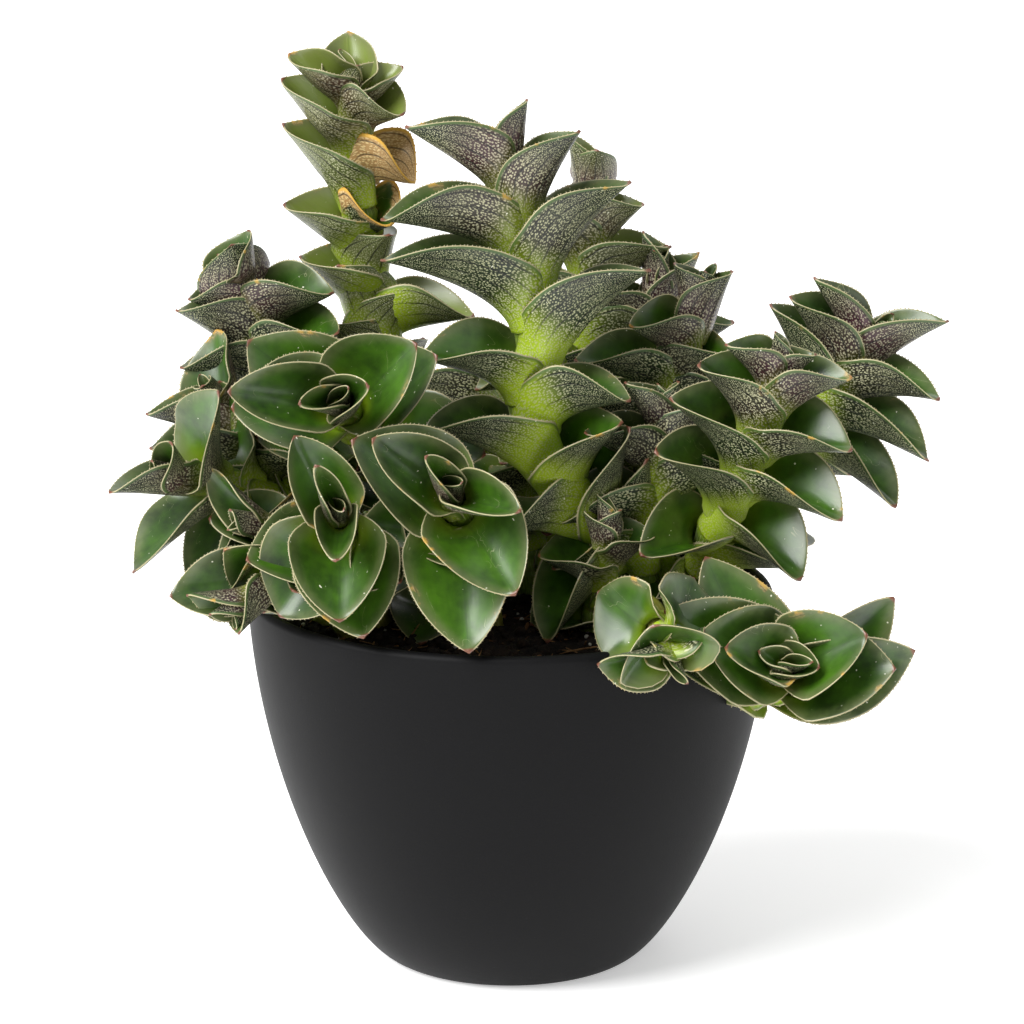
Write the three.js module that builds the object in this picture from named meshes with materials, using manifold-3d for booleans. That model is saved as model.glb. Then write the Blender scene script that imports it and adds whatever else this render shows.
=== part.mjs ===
import * as THREE from 'three';
import { ParametricGeometry } from 'three/addons/geometries/ParametricGeometry.js';
import { mergeVertices } from 'three/addons/utils/BufferGeometryUtils.js';
import Module from 'manifold-3d';

// A potted chain plant: a smooth round pot, its soil, and trailing succulent shoots whose
// boat-shaped leaves sit in two ranks and clasp the stem. Millimetres, +Z up. The origin is the
// middle of the pot's flat base, +X is to the right and the front of the plant faces -Y.

// Pot
const potHeight = 91.4;
const rimRadius = 63.6;
const baseRadius = 30;
const footCurve = 8;
const bellyHeight = 0.43;
const rimFlare = 2.5;
const wall = 3.2;
const floorThickness = 5;
const innerSteps = 5;
const outerSteps = 7;
const potSides = 32;
const lipSteps = 3;

// Soil
const soilTop = 85;
const soilCrown = 1.5;
const soilEdgeGap = 0.6;
const soilShoulder = 3;
const soilSides = 24;

// Stems
const stemSides = 6;
const stemSteps = 5;
const tipTaper = 0.55;
const taperLength = 14;

// Leaves
const leafThickness = 1.6;
const widestAt = 0.38;
const openedAt = 0.42;
const claspArc = 2.6;
const taperPower = 1.8;
const tipThinness = 0.4;
const thinsFrom = 0.3;
const keelShare = 0.18;
const turnedBy = 0.6;
const firstDown = 1;
const youngestWidth = 0.5;
const grownWidthAt = 3;
const grownShapeAt = 4;

// The midrib's handles, as shares of the leaf's length: up the stem, out from it, and at the tip
const riseShare = 0.22;
const leanShare = 0.04;
const approachShare = 0.36;

// Leaf surfaces and how many are made
const sectionSteps = 8;
const ownRows = 5;
const ownColumns = 8;
const joinedRows = 3;
const joinedColumns = 4;
const mostJoined = 3;
const leastShare = 0.75;

// Fit: the gap kept between touching pieces, how far a joined leaf sinks into its stem, how much
// more a cutting shape grows at a leaf's thin edges, and how much looser a leaf may clasp
const gap = 0.35;
const sunk = 0.4;
const smallestEdge = 0.02;
const edgeGrowth = 3;
const loosest = 1;
const looserStep = 0.1;
const weld = 1e-3;

// Pieces whose mesh is drawn coarser or finer than the rest, so that the solid made from it is
// sound: the smallest edge kept, and the longest edge left unsplit.
const coarserEdges = {
	front_right_leaf_03: 0.1,
	front_right_leaf_04: 0.05,
	hanging_stem: 0.2,
	inner_back_stem: 0.05,
	inner_left_stem: 0.2,
	main_leaf_03: 0.17,
	rear_middle_stem: 0.2,
	rear_right_stem: 0.2,
	rim_stem: 0.05,
	side_left_stem: 0.1,
	upper_left_stem: 0.2,
};
const longestEdges = {
	far_right_leaf_02: 5,
	far_right_leaf_04: 9,
	front_middle_leaf_01: 7,
	front_middle_leaf_02: 4,
	front_right_leaf_03: 9,
	hanging_leaf_03: 7,
	hanging_stem: 9,
	inner_back_stem: 10,
	inner_left_stem: 5,
	inner_right_stem: 7,
	main_leaf_04: 10,
	main_leaf_05: 7,
	main_stem: 12,
	rear_middle_stem: 7,
	rear_right_stem: 9,
	rim_stem: 7,
	side_right_stem: 6,
	tall_stem: 16,
	upper_left_leaf_02: 3,
};

// How leaves are shaped from the youngest to the full-grown: fold is the angle of each half at the
// keel, arch how far the tip bends back, and cup the curl of each half in radians.
const upright = { fold: [50, 34], arch: 15, cup: [0.9, 0.65] };
const rosette = { fold: [36, 14], arch: 8, cup: [1.2, 0.5] };

// Shoots that show. A stem runs from below the soil to its growing tip. Leaves are listed from the
// youngest down the stem: length from the stem's middle to the leaf's tip, heading as a compass
// angle from +X towards +Y, and rise above level. Spacing is the stem between two grown leaves, and
// ownLeaves counts the leaves, after the innermost, that are separate pieces.
const shownShoots = [
	{
		name: 'main',
		habit: upright,
		radius: 4.6,
		width: 31,
		spacing: 9,
		ownLeaves: 11,
		stem: [[44, 6, 80], [34, 0, 97], [15, -10, 114], [5, -13, 136], [6, -13, 158], [-1, -13, 195]],
		leaves: [
			{ length: 18, heading: 0, rise: 75 },
			{ length: 30, heading: 195, rise: 33 },
			{ length: 27, heading: -15, rise: 56 },
			{ length: 36, heading: 195, rise: 17 },
			{ length: 36, heading: -12, rise: 49 },
			{ length: 42, heading: 197, rise: 26 },
			{ length: 37, heading: -15, rise: 41 },
			{ length: 30, heading: 199, rise: 25, turn: -15 },
			{ length: 27, heading: -27, rise: 25, turn: -20 },
			{ length: 37, heading: 210, rise: 22, turn: -15 },
			{ length: 29, heading: -50, rise: 50 },
			{ length: 30, heading: 225, rise: 6 },
			{ length: 37, heading: -85, rise: 60 },
			{ length: 42, heading: 233, rise: -17 },
			{ length: 42, heading: 255, rise: 58 },
			{ length: 32, heading: 245, rise: 5 },
		],
	},
	{
		name: 'tall',
		habit: upright,
		radius: 3.6,
		width: 24,
		spacing: 6.5,
		ownLeaves: 0,
		joinedLeaves: 8,
		stem: [[-15, 12, 80], [-25, 15, 110], [-33, 19, 146], [-36, 20, 178], [-38, 20, 208]],
		leaves: [
			{ length: 14, heading: -5, rise: 60, turn: 35 },
			{ length: 21, heading: 185, rise: 43, turn: -45 },
			{ length: 16, heading: -33, rise: 23 },
			{ length: 27, heading: 192, rise: 48, turn: -40 },
			{ length: 15, heading: -23, rise: 5 },
			{ length: 29, heading: 195, rise: 49, turn: -35 },
			{ length: 13, heading: -55, rise: 20 },
			{ length: 25, heading: 194, rise: 37, turn: -30 },
			{ length: 19, heading: -60, rise: 52 },
			{ length: 23, heading: 194, rise: 41, turn: -30 },
			{ length: 24, heading: 230, rise: 58 },
			{ length: 28, heading: -35, rise: 40 },
			{ length: 25, heading: 220, rise: 50 },
		],
	},
	{
		name: 'upper_left',
		habit: rosette,
		radius: 3.8,
		width: 30,
		spacing: 5,
		ownLeaves: 3,
		stem: [[-21, 3, 80], [-25, 2, 104], [-31, -6, 124], [-37, -20, 137], [-39, -35, 144]],
		leaves: [
			{ length: 18, heading: 240, rise: 12 },
			{ length: 21, heading: -70, rise: 25 },
			{ length: 31, heading: 210, rise: 14 },
			{ length: 29, heading: -40, rise: 42 },
			{ length: 30, heading: 200, rise: 10 },
			{ length: 34, heading: 190, rise: 40 },
			{ length: 32, heading: -40, rise: 45 },
		],
	},
	{
		name: 'front_left',
		habit: rosette,
		radius: 3.8,
		width: 29,
		spacing: 4.5,
		ownLeaves: 3,
		stem: [[-30, -13, 80], [-34, -21, 94], [-38, -36, 110], [-39, -50, 121]],
		leaves: [
			{ length: 20, heading: 250, rise: 50 },
			{ length: 21, heading: -90, rise: -10 },
			{ length: 26, heading: 210, rise: 63 },
			{ length: 27, heading: -90, rise: -32 },
			{ length: 23, heading: 210, rise: -42 },
			{ length: 30, heading: -80, rise: -26 },
		],
	},
	{
		name: 'front_middle',
		habit: rosette,
		radius: 4,
		width: 30,
		spacing: 4.5,
		ownLeaves: 3,
		stem: [[-5, -14, 80], [-7, -22, 98], [-11, -37, 116], [-13, -50, 126]],
		leaves: [
			{ length: 20, heading: 247, rise: 40 },
			{ length: 26, heading: -55, rise: 6 },
			{ length: 29, heading: 212, rise: 40 },
			{ length: 33, heading: -65, rise: -21 },
			{ length: 35, heading: 204, rise: 39 },
			{ length: 38, heading: -88, rise: -32 },
		],
	},
	{
		name: 'hanging',
		habit: rosette,
		radius: 3.8,
		width: 27,
		spacing: 2.2,
		ownLeaves: 3,
		stem: [[38, -22, 80], [46, -30, 96], [56, -38, 94], [60, -43, 80], [63, -56, 87]],
		leaves: [
			{ length: 9, heading: 210, rise: 35 },
			{ length: 12, heading: -51, rise: 16 },
			{ length: 20, heading: 219, rise: 28 },
			{ length: 25, heading: -29, rise: 31 },
			{ length: 27, heading: 215, rise: 33 },
			{ length: 30, heading: -26, rise: 13 },
			{ length: 36, heading: 207, rise: 36 },
			{ length: 36, heading: -20, rise: 18 },
			{ length: 33, heading: 186, rise: 63 },
			{ length: 35, heading: -11, rise: 32 },
		],
	},
	{
		name: 'rim',
		habit: rosette,
		radius: 3.4,
		width: 22,
		spacing: 2.4,
		ownLeaves: 0,
		stem: [[26, -32, 80], [30, -42, 97], [34, -55, 96], [36, -64, 92]],
		leaves: [
			{ length: 7, heading: 200, rise: 30 },
			{ length: 9, heading: 225, rise: 5 },
			{ length: 8, heading: -40, rise: 10 },
			{ length: 18, heading: 208, rise: -8 },
			{ length: 14, heading: 195, rise: 30 },
		],
	},
	{
		name: 'front_right',
		habit: upright,
		radius: 4.2,
		width: 29,
		spacing: 6.5,
		ownLeaves: 5,
		stem: [[40, 4, 80], [46, -4, 98], [52, -14, 116], [58, -23, 134], [62, -27, 149]],
		leaves: [
			{ length: 11, heading: -10, rise: 35 },
			{ length: 17, heading: 198, rise: 45 },
			{ length: 22, heading: -14, rise: 25 },
			{ length: 25, heading: 209, rise: 47 },
			{ length: 26, heading: -28, rise: 8 },
			{ length: 31, heading: 218, rise: 43 },
			{ length: 31, heading: -38, rise: -4 },
			{ length: 35, heading: 232, rise: 35 },
			{ length: 28, heading: -45, rise: -15 },
		],
	},
	{
		name: 'far_right',
		habit: upright,
		radius: 3.8,
		width: 26,
		spacing: 4.5,
		ownLeaves: 4,
		stem: [[46, 16, 80], [54, 12, 104], [66, 6, 125], [76, 2, 140], [84, 0, 150]],
		leaves: [
			{ length: 12, heading: 0, rise: 50 },
			{ length: 23, heading: 200, rise: 62 },
			{ length: 28, heading: -11, rise: 27 },
			{ length: 26, heading: 214, rise: 59 },
			{ length: 30, heading: -25, rise: 3 },
			{ length: 30, heading: 215, rise: 64 },
			{ length: 35, heading: -32, rise: -9 },
			{ length: 24, heading: 200, rise: 55 },
			{ length: 37, heading: -44, rise: -13 },
		],
	},
	{
		name: 'middle_right',
		habit: upright,
		radius: 3.6,
		width: 22,
		spacing: 6,
		ownLeaves: 0,
		stem: [[30, 4, 80], [33, 8, 108], [38, 8, 132], [41, 5, 146], [45, 4, 160]],
		leaves: [
			{ length: 9, heading: 0, rise: 60 },
			{ length: 15, heading: 200, rise: 70 },
			{ length: 20, heading: -10, rise: 58 },
			{ length: 19, heading: 217, rise: 33 },
			{ length: 18, heading: -40, rise: 30 },
			{ length: 28, heading: 201, rise: 26 },
			{ length: 24, heading: -25, rise: 25 },
			{ length: 26, heading: 200, rise: 20 },
		],
	},
	{
		name: 'inner_right',
		habit: upright,
		radius: 3.4,
		width: 22,
		spacing: 6,
		ownLeaves: 0,
		stem: [[30, -6, 80], [33, -8, 105], [36, -10, 125], [37, -11, 134]],
		leaves: [
			{ length: 12, heading: -30, rise: 75 },
			{ length: 18, heading: 200, rise: 55 },
			{ length: 20, heading: -20, rise: 45 },
			{ length: 24, heading: 205, rise: 35 },
			{ length: 26, heading: -20, rise: 25 },
		],
	},
	{
		name: 'rear_middle',
		habit: upright,
		radius: 3.4,
		width: 24,
		spacing: 8,
		ownLeaves: 0,
		stem: [[14, 22, 80], [16, 26, 115], [18, 28, 150], [20, 26, 182]],
		leaves: [
			{ length: 11, heading: 0, rise: 70 },
			{ length: 22, heading: 190, rise: 75 },
			{ length: 20, heading: -15, rise: 53 },
			{ length: 24, heading: 195, rise: 40 },
			{ length: 26, heading: -10, rise: 35 },
			{ length: 28, heading: 200, rise: 25 },
			{ length: 28, heading: -15, rise: 20 },
		],
	},
	{
		name: 'rear_right',
		habit: upright,
		radius: 3.4,
		width: 23,
		spacing: 7,
		ownLeaves: 0,
		stem: [[26, 22, 80], [30, 26, 110], [34, 26, 140], [36, 24, 160]],
		leaves: [
			{ length: 12, heading: 0, rise: 80 },
			{ length: 19, heading: 190, rise: 80 },
			{ length: 22, heading: 0, rise: 60 },
			{ length: 24, heading: 190, rise: 40 },
			{ length: 26, heading: -5, rise: 35 },
			{ length: 28, heading: 185, rise: 25 },
		],
	},
	{
		name: 'far_left',
		habit: rosette,
		radius: 3.6,
		width: 26,
		spacing: 4.5,
		ownLeaves: 0,
		stem: [[-36, -2, 80], [-46, -6, 100], [-58, -12, 116], [-70, -18, 122], [-77, -22, 123]],
		leaves: [
			{ length: 13, heading: 230, rise: 30 },
			{ length: 19, heading: 254, rise: 39 },
			{ length: 26, heading: 211, rise: 0 },
			{ length: 28, heading: -90, rise: 62 },
			{ length: 34, heading: 214, rise: -30 },
			{ length: 28, heading: 250, rise: 58 },
			{ length: 32, heading: 231, rise: -37 },
		],
	},
	{
		name: 'low_left',
		habit: rosette,
		radius: 3.4,
		width: 24,
		spacing: 5,
		ownLeaves: 0,
		stem: [[-32, -10, 80], [-42, -18, 98], [-52, -26, 110], [-58, -32, 114]],
		leaves: [
			{ length: 13, heading: 230, rise: 30 },
			{ length: 21, heading: 185, rise: 46 },
			{ length: 20, heading: 215, rise: -35 },
			{ length: 22, heading: 195, rise: 20 },
			{ length: 22, heading: 230, rise: -30 },
		],
	},
	{
		name: 'rim_left',
		habit: rosette,
		radius: 3.4,
		width: 22,
		spacing: 4.5,
		ownLeaves: 0,
		stem: [[-34, -20, 80], [-44, -28, 96], [-54, -36, 102], [-60, -42, 99]],
		leaves: [
			{ length: 12, heading: 215, rise: -10 },
			{ length: 17, heading: 190, rise: 0 },
			{ length: 17, heading: 243, rise: -30 },
			{ length: 27, heading: 189, rise: -5 },
			{ length: 22, heading: 210, rise: 30 },
		],
	},
	{
		name: 'bud_left',
		habit: upright,
		radius: 3.6,
		width: 24,
		spacing: 5.5,
		ownLeaves: 0,
		stem: [[-28, 8, 80], [-40, 10, 106], [-52, 10, 130], [-60, 10, 150], [-64, 8, 163]],
		leaves: [
			{ length: 13, heading: 180, rise: 85 },
			{ length: 17, heading: 0, rise: 60 },
			{ length: 17, heading: 195, rise: 20 },
			{ length: 25, heading: -31, rise: 32 },
			{ length: 26, heading: 195, rise: 30 },
			{ length: 28, heading: -48, rise: 32 },
			{ length: 28, heading: 200, rise: 20 },
			{ length: 28, heading: -30, rise: 20 },
		],
	},
	{
		name: 'side_left',
		habit: upright,
		radius: 3.4,
		width: 23,
		spacing: 5,
		ownLeaves: 0,
		stem: [[-34, 2, 80], [-48, 0, 104], [-60, -4, 124], [-68, -6, 136]],
		leaves: [
			{ length: 13, heading: 190, rise: 60 },
			{ length: 18, heading: 0, rise: 45 },
			{ length: 27, heading: 180, rise: 70 },
			{ length: 26, heading: -30, rise: 25 },
			{ length: 28, heading: 200, rise: 10 },
			{ length: 28, heading: -40, rise: 15 },
		],
	},
];

// Shoots at the back and inside, which grow by one rule: two ranks that turn a little round the
// stem, each leaf longer and more open than the one above it.
const turnPerLeaf = 9;
const closedAngle = 18;
const openAngle = 80;
const youngestLength = 0.45;
const hiddenShoots = [
	{ name: 'back_left', stem: [[-24, 30, 80], [-36, 44, 104], [-47, 58, 118]], heading: 20 },
	{ name: 'back_middle', stem: [[0, 34, 80], [-3, 50, 110], [-6, 65, 126]], heading: -10 },
	{ name: 'back_right', stem: [[26, 34, 80], [34, 48, 102], [42, 60, 114]], heading: 35 },
	{ name: 'side_right', stem: [[46, 26, 80], [58, 34, 102], [70, 38, 114]], heading: 80 },
	{ name: 'back_corner', stem: [[-42, 18, 80], [-56, 28, 100], [-68, 36, 112]], heading: -70 },
	{ name: 'inner_back', stem: [[6, 8, 80], [4, 10, 104], [2, 8, 124]], heading: 15 },
	{ name: 'inner_left', stem: [[-12, -4, 80], [-15, -6, 100], [-17, -8, 116]], heading: 200 },
	{ name: 'inner_middle', stem: [[20, -14, 80], [22, -18, 98], [23, -21, 110]], heading: -20 },
];
const hiddenSizes = { radius: 3.6, count: 6, length: 29, width: 27, spacing: 6, ownLeaves: 0 };

const wasm = await Module();
wasm.setup();

const toVector = ([x, y, z]) => new THREE.Vector3(x, y, z);
const radians = THREE.MathUtils.degToRad;
const mix = THREE.MathUtils.lerp;

/** A soft step from 0 to 1. */
function ease(x) {
	const t = THREE.MathUtils.clamp(x, 0, 1);
	return t * t * (3 - 2 * t);
}

/** The unit direction with a compass heading and a rise above level. */
function direction(heading, rise) {
	const level = Math.cos(radians(rise));
	const x = level * Math.cos(radians(heading));
	const y = level * Math.sin(radians(heading));
	return new THREE.Vector3(x, y, Math.sin(radians(rise)));
}

/** The middle line of a stem, from below the soil to the growing tip. */
function stemCurve(shoot) {
	return new THREE.CatmullRomCurve3(shoot.stem.map(toVector), false, 'catmullrom', 0.5);
}

/** The stem's radius at a distance below its growing tip, narrowing over the last stretch. */
function stemRadius(shoot, down) {
	return shoot.radius * (1 - tipTaper * ease(1 - down / taperLength));
}

/** How far below the growing tip a leaf sits: the youngest leaves are crowded together. */
function leafDown(shoot, i) {
	return firstDown + shoot.spacing * (i - 1 + 1 / (i + 1));
}

/** Place and direction of the stem at a distance below its growing tip. */
function stemAt(shoot, down) {
	const curve = stemCurve(shoot);
	const along = THREE.MathUtils.clamp(1 - down / curve.getLength(), 0, 1);
	return { centre: curve.getPointAt(along), axis: curve.getTangentAt(along) };
}

/** The two-ranked leaves of a hidden shoot, as lengths and directions. */
function regularLeaves(shoot) {
	const leaves = [];
	for (let i = 0; i < shoot.count; i += 1) {
		const { axis } = stemAt(shoot, leafDown(shoot, i));
		const outward = direction(shoot.heading + 180 * (i % 2) + turnPerLeaf * i, 0);
		outward.addScaledVector(axis, -outward.dot(axis)).normalize();
		const angle = radians(mix(closedAngle, openAngle, Math.min(1, i / grownShapeAt)));
		const reach = axis.clone().multiplyScalar(Math.cos(angle));
		reach.addScaledVector(outward, Math.sin(angle));
		const length = shoot.length * mix(youngestLength, 1, Math.min(1, i / grownWidthAt));
		leaves.push({ length, reach });
	}
	return leaves;
}

/** A leaf with every size that its surface needs. */
function leafSizes(shoot, leaf, i, clearance) {
	const down = leafDown(shoot, i);
	const age = Math.min(1, i / grownShapeAt);
	const { centre, axis } = stemAt(shoot, down);
	const reach = leaf.reach ?? direction(leaf.heading, leaf.rise);
	return {
		centre,
		axis,
		length: leaf.length,
		tip: centre.clone().addScaledVector(reach, leaf.length),
		clasp: stemRadius(shoot, down) + clearance,
		halfWidth: (shoot.width / 2) * mix(youngestWidth, 1, Math.min(1, i / grownWidthAt)),
		fold: radians(mix(...shoot.habit.fold, age)),
		cup: mix(...shoot.habit.cup, age),
		arch: radians(shoot.habit.arch * age),
		turn: radians(leaf.turn ?? 0),
	};
}

/** The midrib: it leaves the stem along the stem's axis and bends out to the leaf's tip. */
function midrib(leaf) {
	const { centre, axis, tip, length } = leaf;
	const reach = tip.clone().sub(centre);
	const outward = reach.clone().addScaledVector(axis, -reach.dot(axis)).normalize();
	const start = centre.clone().addScaledVector(outward, leaf.clasp);
	const chord = tip.clone().sub(start).normalize();
	const inward = axis.clone().addScaledVector(chord, -axis.dot(chord)).normalize();
	const end = chord.clone().multiplyScalar(Math.cos(leaf.arch));
	end.addScaledVector(inward, -Math.sin(leaf.arch));
	const rise = start.clone().addScaledVector(axis, riseShare * length);
	rise.addScaledVector(outward, leanShare * length);
	const approach = tip.clone().addScaledVector(end, -approachShare * length);
	const side = new THREE.Vector3().crossVectors(axis, outward);
	return { curve: new THREE.CubicBezierCurve3(start, rise, approach, tip), side };
}

/** Width of one half of the blade, laid flat: clasping, widest before the middle, drawn to a tip. */
function bladeHalf(leaf, along) {
	const clasp = claspArc * leaf.clasp;
	const full = mix(clasp, leaf.halfWidth, ease(along / widestAt));
	const taper = THREE.MathUtils.clamp((along - widestAt) / (1 - widestAt), 0, 1);
	return full * (1 - taper ** taperPower);
}

/** Offsets across and above the midrib, and the slope, at a distance out on one half. */
function bladeSection(leaf, along, distance) {
	const opened = ease(along / openedAt);
	const curl = mix(1 / leaf.clasp, leaf.cup / leaf.halfWidth, opened);
	const fold = leaf.fold * opened;
	const keel = keelShare * leaf.halfWidth;
	const slopeAt = (s) => fold * ease(s / keel) + curl * s;
	let across = 0;
	let above = 0;
	for (let i = 0; i < sectionSteps; i += 1) {
		const angle = slopeAt(((i + 0.5) / sectionSteps) * distance);
		across += (Math.cos(angle) * distance) / sectionSteps;
		above += (Math.sin(angle) * distance) / sectionSteps;
	}
	return { across, above, slope: slopeAt(distance) };
}

/**
 * A leaf as one closed surface: round its lens-shaped section, and along its midrib. A grown leaf
 * is thicker, and reaches further at the thin edges and ends.
 */
function leafGeometry(leaf, rows, columns, grow = 0) {
	const { curve, side } = midrib(leaf);
	const surface = (u, v, target) => {
		const round = 2 * Math.PI * u;
		const rib = curve.getPoint(v);
		const tangent = curve.getTangent(v);
		const turn = leaf.turn * ease(v / turnedBy);
		const lateral = side.clone().applyAxisAngle(tangent, turn);
		const up = new THREE.Vector3().crossVectors(tangent, lateral).normalize();
		const spread = -Math.cos(round);
		const atEnd = v === 0 || v === 1;
		const half = bladeHalf(leaf, v) + edgeGrowth * grow;
		const { across, above, slope } = bladeSection(leaf, v, Math.abs(spread) * half);
		const thickness = (leafThickness / 2) * mix(1, tipThinness, ease((v - thinsFrom) / (1 - thinsFrom))) + grow;
		const lift = atEnd ? 0 : thickness * Math.sin(round);
		target.copy(rib);
		target.addScaledVector(lateral, Math.sign(spread) * (across - lift * Math.sin(slope)));
		target.addScaledVector(up, above + lift * Math.cos(slope));
		if (atEnd) target.addScaledVector(tangent, (2 * v - 1) * edgeGrowth * grow);
	};
	return new ParametricGeometry(surface, columns, rows);
}

/** A stem as one closed surface: round its section and along its run, with both ends drawn shut. */
function stemGeometry(shoot, grow = 0) {
	const curve = stemCurve(shoot);
	const length = curve.getLength();
	const frames = curve.computeFrenetFrames(stemSteps, false);
	const rows = stemSteps + 2;
	const surface = (u, v, target) => {
		const row = Math.round(v * rows);
		const step = THREE.MathUtils.clamp(row - 1, 0, stemSteps);
		const down = length * (1 - step / stemSteps);
		const radius = row === 0 || row === rows ? 0 : stemRadius(shoot, down) + grow;
		const round = 2 * Math.PI * u;
		curve.getPointAt(step / stemSteps, target);
		target.addScaledVector(frames.normals[step], radius * Math.cos(round));
		target.addScaledVector(frames.binormals[step], radius * Math.sin(round));
	};
	return new ParametricGeometry(surface, stemSides, rows);
}

/** The pot's wall line, from the flat base to just under the lip, moved in by an inset. */
function wallCurve(inset, bottom) {
	const lipBottom = potHeight - wall / 2;
	return new THREE.CubicBezierCurve(
		new THREE.Vector2(baseRadius - inset, bottom),
		new THREE.Vector2(baseRadius + footCurve - inset, bottom),
		new THREE.Vector2(rimRadius - rimFlare - inset, mix(bottom, potHeight, bellyHeight)),
		new THREE.Vector2(rimRadius - inset, lipBottom),
	);
}

/** The pot: a lathed wall with a rolled lip and a flat base. */
function potGeometry(grow = 0) {
	const lipRadius = wall / 2;
	const outer = wallCurve(-grow, -grow).getPoints(outerSteps);
	const lip = new THREE.Path();
	lip.absarc(rimRadius - lipRadius, potHeight - lipRadius, lipRadius + grow, 0, Math.PI);
	const inner = wallCurve(wall + grow, floorThickness + grow).getPoints(innerSteps).reverse();
	const profile = [
		new THREE.Vector2(0, -grow),
		...outer,
		...lip.getPoints(lipSteps).slice(1, -1),
		...inner,
		new THREE.Vector2(0, floorThickness + grow),
	];
	return new THREE.LatheGeometry(profile, potSides).rotateX(Math.PI / 2);
}

/** The soil: it fills the pot to a little under the lip, and stands slightly higher in the middle. */
function soilGeometry(grow = 0) {
	const inset = wall + gap - grow;
	const bottom = floorThickness + gap - grow;
	const side = wallCurve(inset, bottom).getPoints(innerSteps).filter(({ y }) => y < soilTop - soilShoulder);
	const edge = rimRadius - inset - soilEdgeGap;
	const profile = [
		new THREE.Vector2(0, bottom),
		...side,
		new THREE.Vector2(edge, soilTop + grow),
		new THREE.Vector2(0.5 * edge, soilTop + soilCrown + grow),
		new THREE.Vector2(0, soilTop + soilCrown + grow),
	];
	return new THREE.LatheGeometry(profile, soilSides).rotateX(Math.PI / 2);
}

/** A closed geometry as a solid that can be joined and cut. */
function toSolid(geometry) {
	geometry.deleteAttribute('normal');
	geometry.deleteAttribute('uv');
	const merged = mergeVertices(geometry, weld);
	const index = merged.index.array;
	const triangles = [];
	for (let i = 0; i < index.length; i += 3) {
		const [a, b, c] = index.slice(i, i + 3);
		if (a !== b && b !== c && c !== a) triangles.push([a, b, c]);
	}
	const build = (corners) => {
		const vertProperties = Float32Array.from(merged.attributes.position.array);
		const triVerts = Uint32Array.from(corners.flat());
		return new wasm.Manifold(new wasm.Mesh({ numProp: 3, vertProperties, triVerts }));
	};
	const solid = build(triangles);
	return solid.volume() > 0 ? solid : build(triangles.map(([a, b, c]) => [b, a, c]));
}

/** A solid as the geometry of a mesh. */
function toGeometry(solid) {
	const { vertProperties, triVerts } = solid.getMesh();
	const geometry = new THREE.BufferGeometry();
	geometry.setAttribute('position', new THREE.BufferAttribute(vertProperties, 3));
	geometry.setIndex(new THREE.BufferAttribute(triVerts, 1));
	geometry.computeVertexNormals();
	return geometry;
}

/** Whether the boxes of two solids meet. */
function boxesMeet(a, b) {
	const first = a.boundingBox();
	const second = b.boundingBox();
	return [0, 1, 2].every((i) => first.min[i] < second.max[i] && second.min[i] < first.max[i]);
}

/** The largest body of a solid. */
function largest(solid) {
	return solid.decompose().sort((a, b) => b.volume() - a.volume())[0];
}

/** A solid cut clear of its neighbours' grown shapes, of which the largest body stays. */
function clearOf(solid, grown) {
	const near = grown.filter((other) => boxesMeet(solid, other));
	return near.length === 0 ? solid : largest(solid.subtract(wasm.Manifold.union(near)));
}

const finishes = {
	pot: { color: '#3a3a3b', roughness: 0.75, metalness: 0 },
	soil: { color: '#2a2019', roughness: 0.95, metalness: 0 },
	stem: { color: '#7f8f45', roughness: 0.55, metalness: 0 },
	leaf: { color: '#3f6b2a', roughness: 0.4, metalness: 0 },
};

const plant = new THREE.Group();

/** A solid with its shared corners welded, as one body. */
function welded(solid) {
	const body = largest(toSolid(toGeometry(solid)));
	return toSolid(toGeometry(body)).decompose().length === 1 ? body : welded(body);
}

/** Whether every edge of a solid, told by its place, has exactly two faces. */
function isSound(solid) {
	const { vertProperties, triVerts } = solid.getMesh();
	const place = (i) => [0, 1, 2].map((axis) => Math.round(vertProperties[3 * i + axis] / weld)).join();
	const faces = new Map();
	for (let i = 0; i < triVerts.length; i += 3) {
		const corners = [0, 1, 2].map((k) => place(triVerts[i + k]));
		for (let k = 0; k < 3; k += 1) {
			const edge = [corners[k], corners[(k + 1) % 3]].sort().join(' ');
			faces.set(edge, (faces.get(edge) ?? 0) + 1);
		}
	}
	return [...faces.values()].every((count) => count === 2);
}

/** A body with the mesh that is handed in for it: coarser or finer where its name is listed. */
function drawn(name, body) {
	const coarser = name in coarserEdges ? body.simplify(coarserEdges[name]) : body;
	return name in longestEdges ? coarser.refineToLength(longestEdges[name]) : coarser;
}

/** Adds a solid to the plant as a named mesh with its own material, and gives back its body. */
function addPiece(name, solid, finish) {
	const body = welded(solid.simplify(smallestEdge));
	const mesh = new THREE.Mesh(toGeometry(drawn(name, body)), new THREE.MeshStandardMaterial(finishes[finish]));
	mesh.name = name;
	plant.add(mesh);
	return body;
}

/** Shoots with their stems and leaves, the shown ones first. */
function allShoots() {
	const hidden = hiddenShoots.map((shoot) => {
		const grown = { ...hiddenSizes, habit: rosette, ...shoot };
		return { ...grown, leaves: regularLeaves(grown) };
	});
	return [...shownShoots, ...hidden];
}

/** The pot, and the soil with a socket round each stem. */
function makePotAndSoil(stems) {
	const sockets = stems.map(({ grown }) => grown);
	addPiece('pot', toSolid(potGeometry()), 'pot');
	addPiece('potting_soil', clearOf(toSolid(soilGeometry()), sockets), 'soil');
}

/** Every stem, each cut clear of the pot and of the stems before it. */
function makeStems(shoots) {
	const accepted = [toSolid(potGeometry(gap))];
	return shoots.map((shoot) => {
		const body = clearOf(toSolid(stemGeometry(shoot)), accepted);
		const grown = toSolid(stemGeometry(shoot, gap));
		accepted.push(grown);
		return { shoot, body, grown };
	});
}

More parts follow.
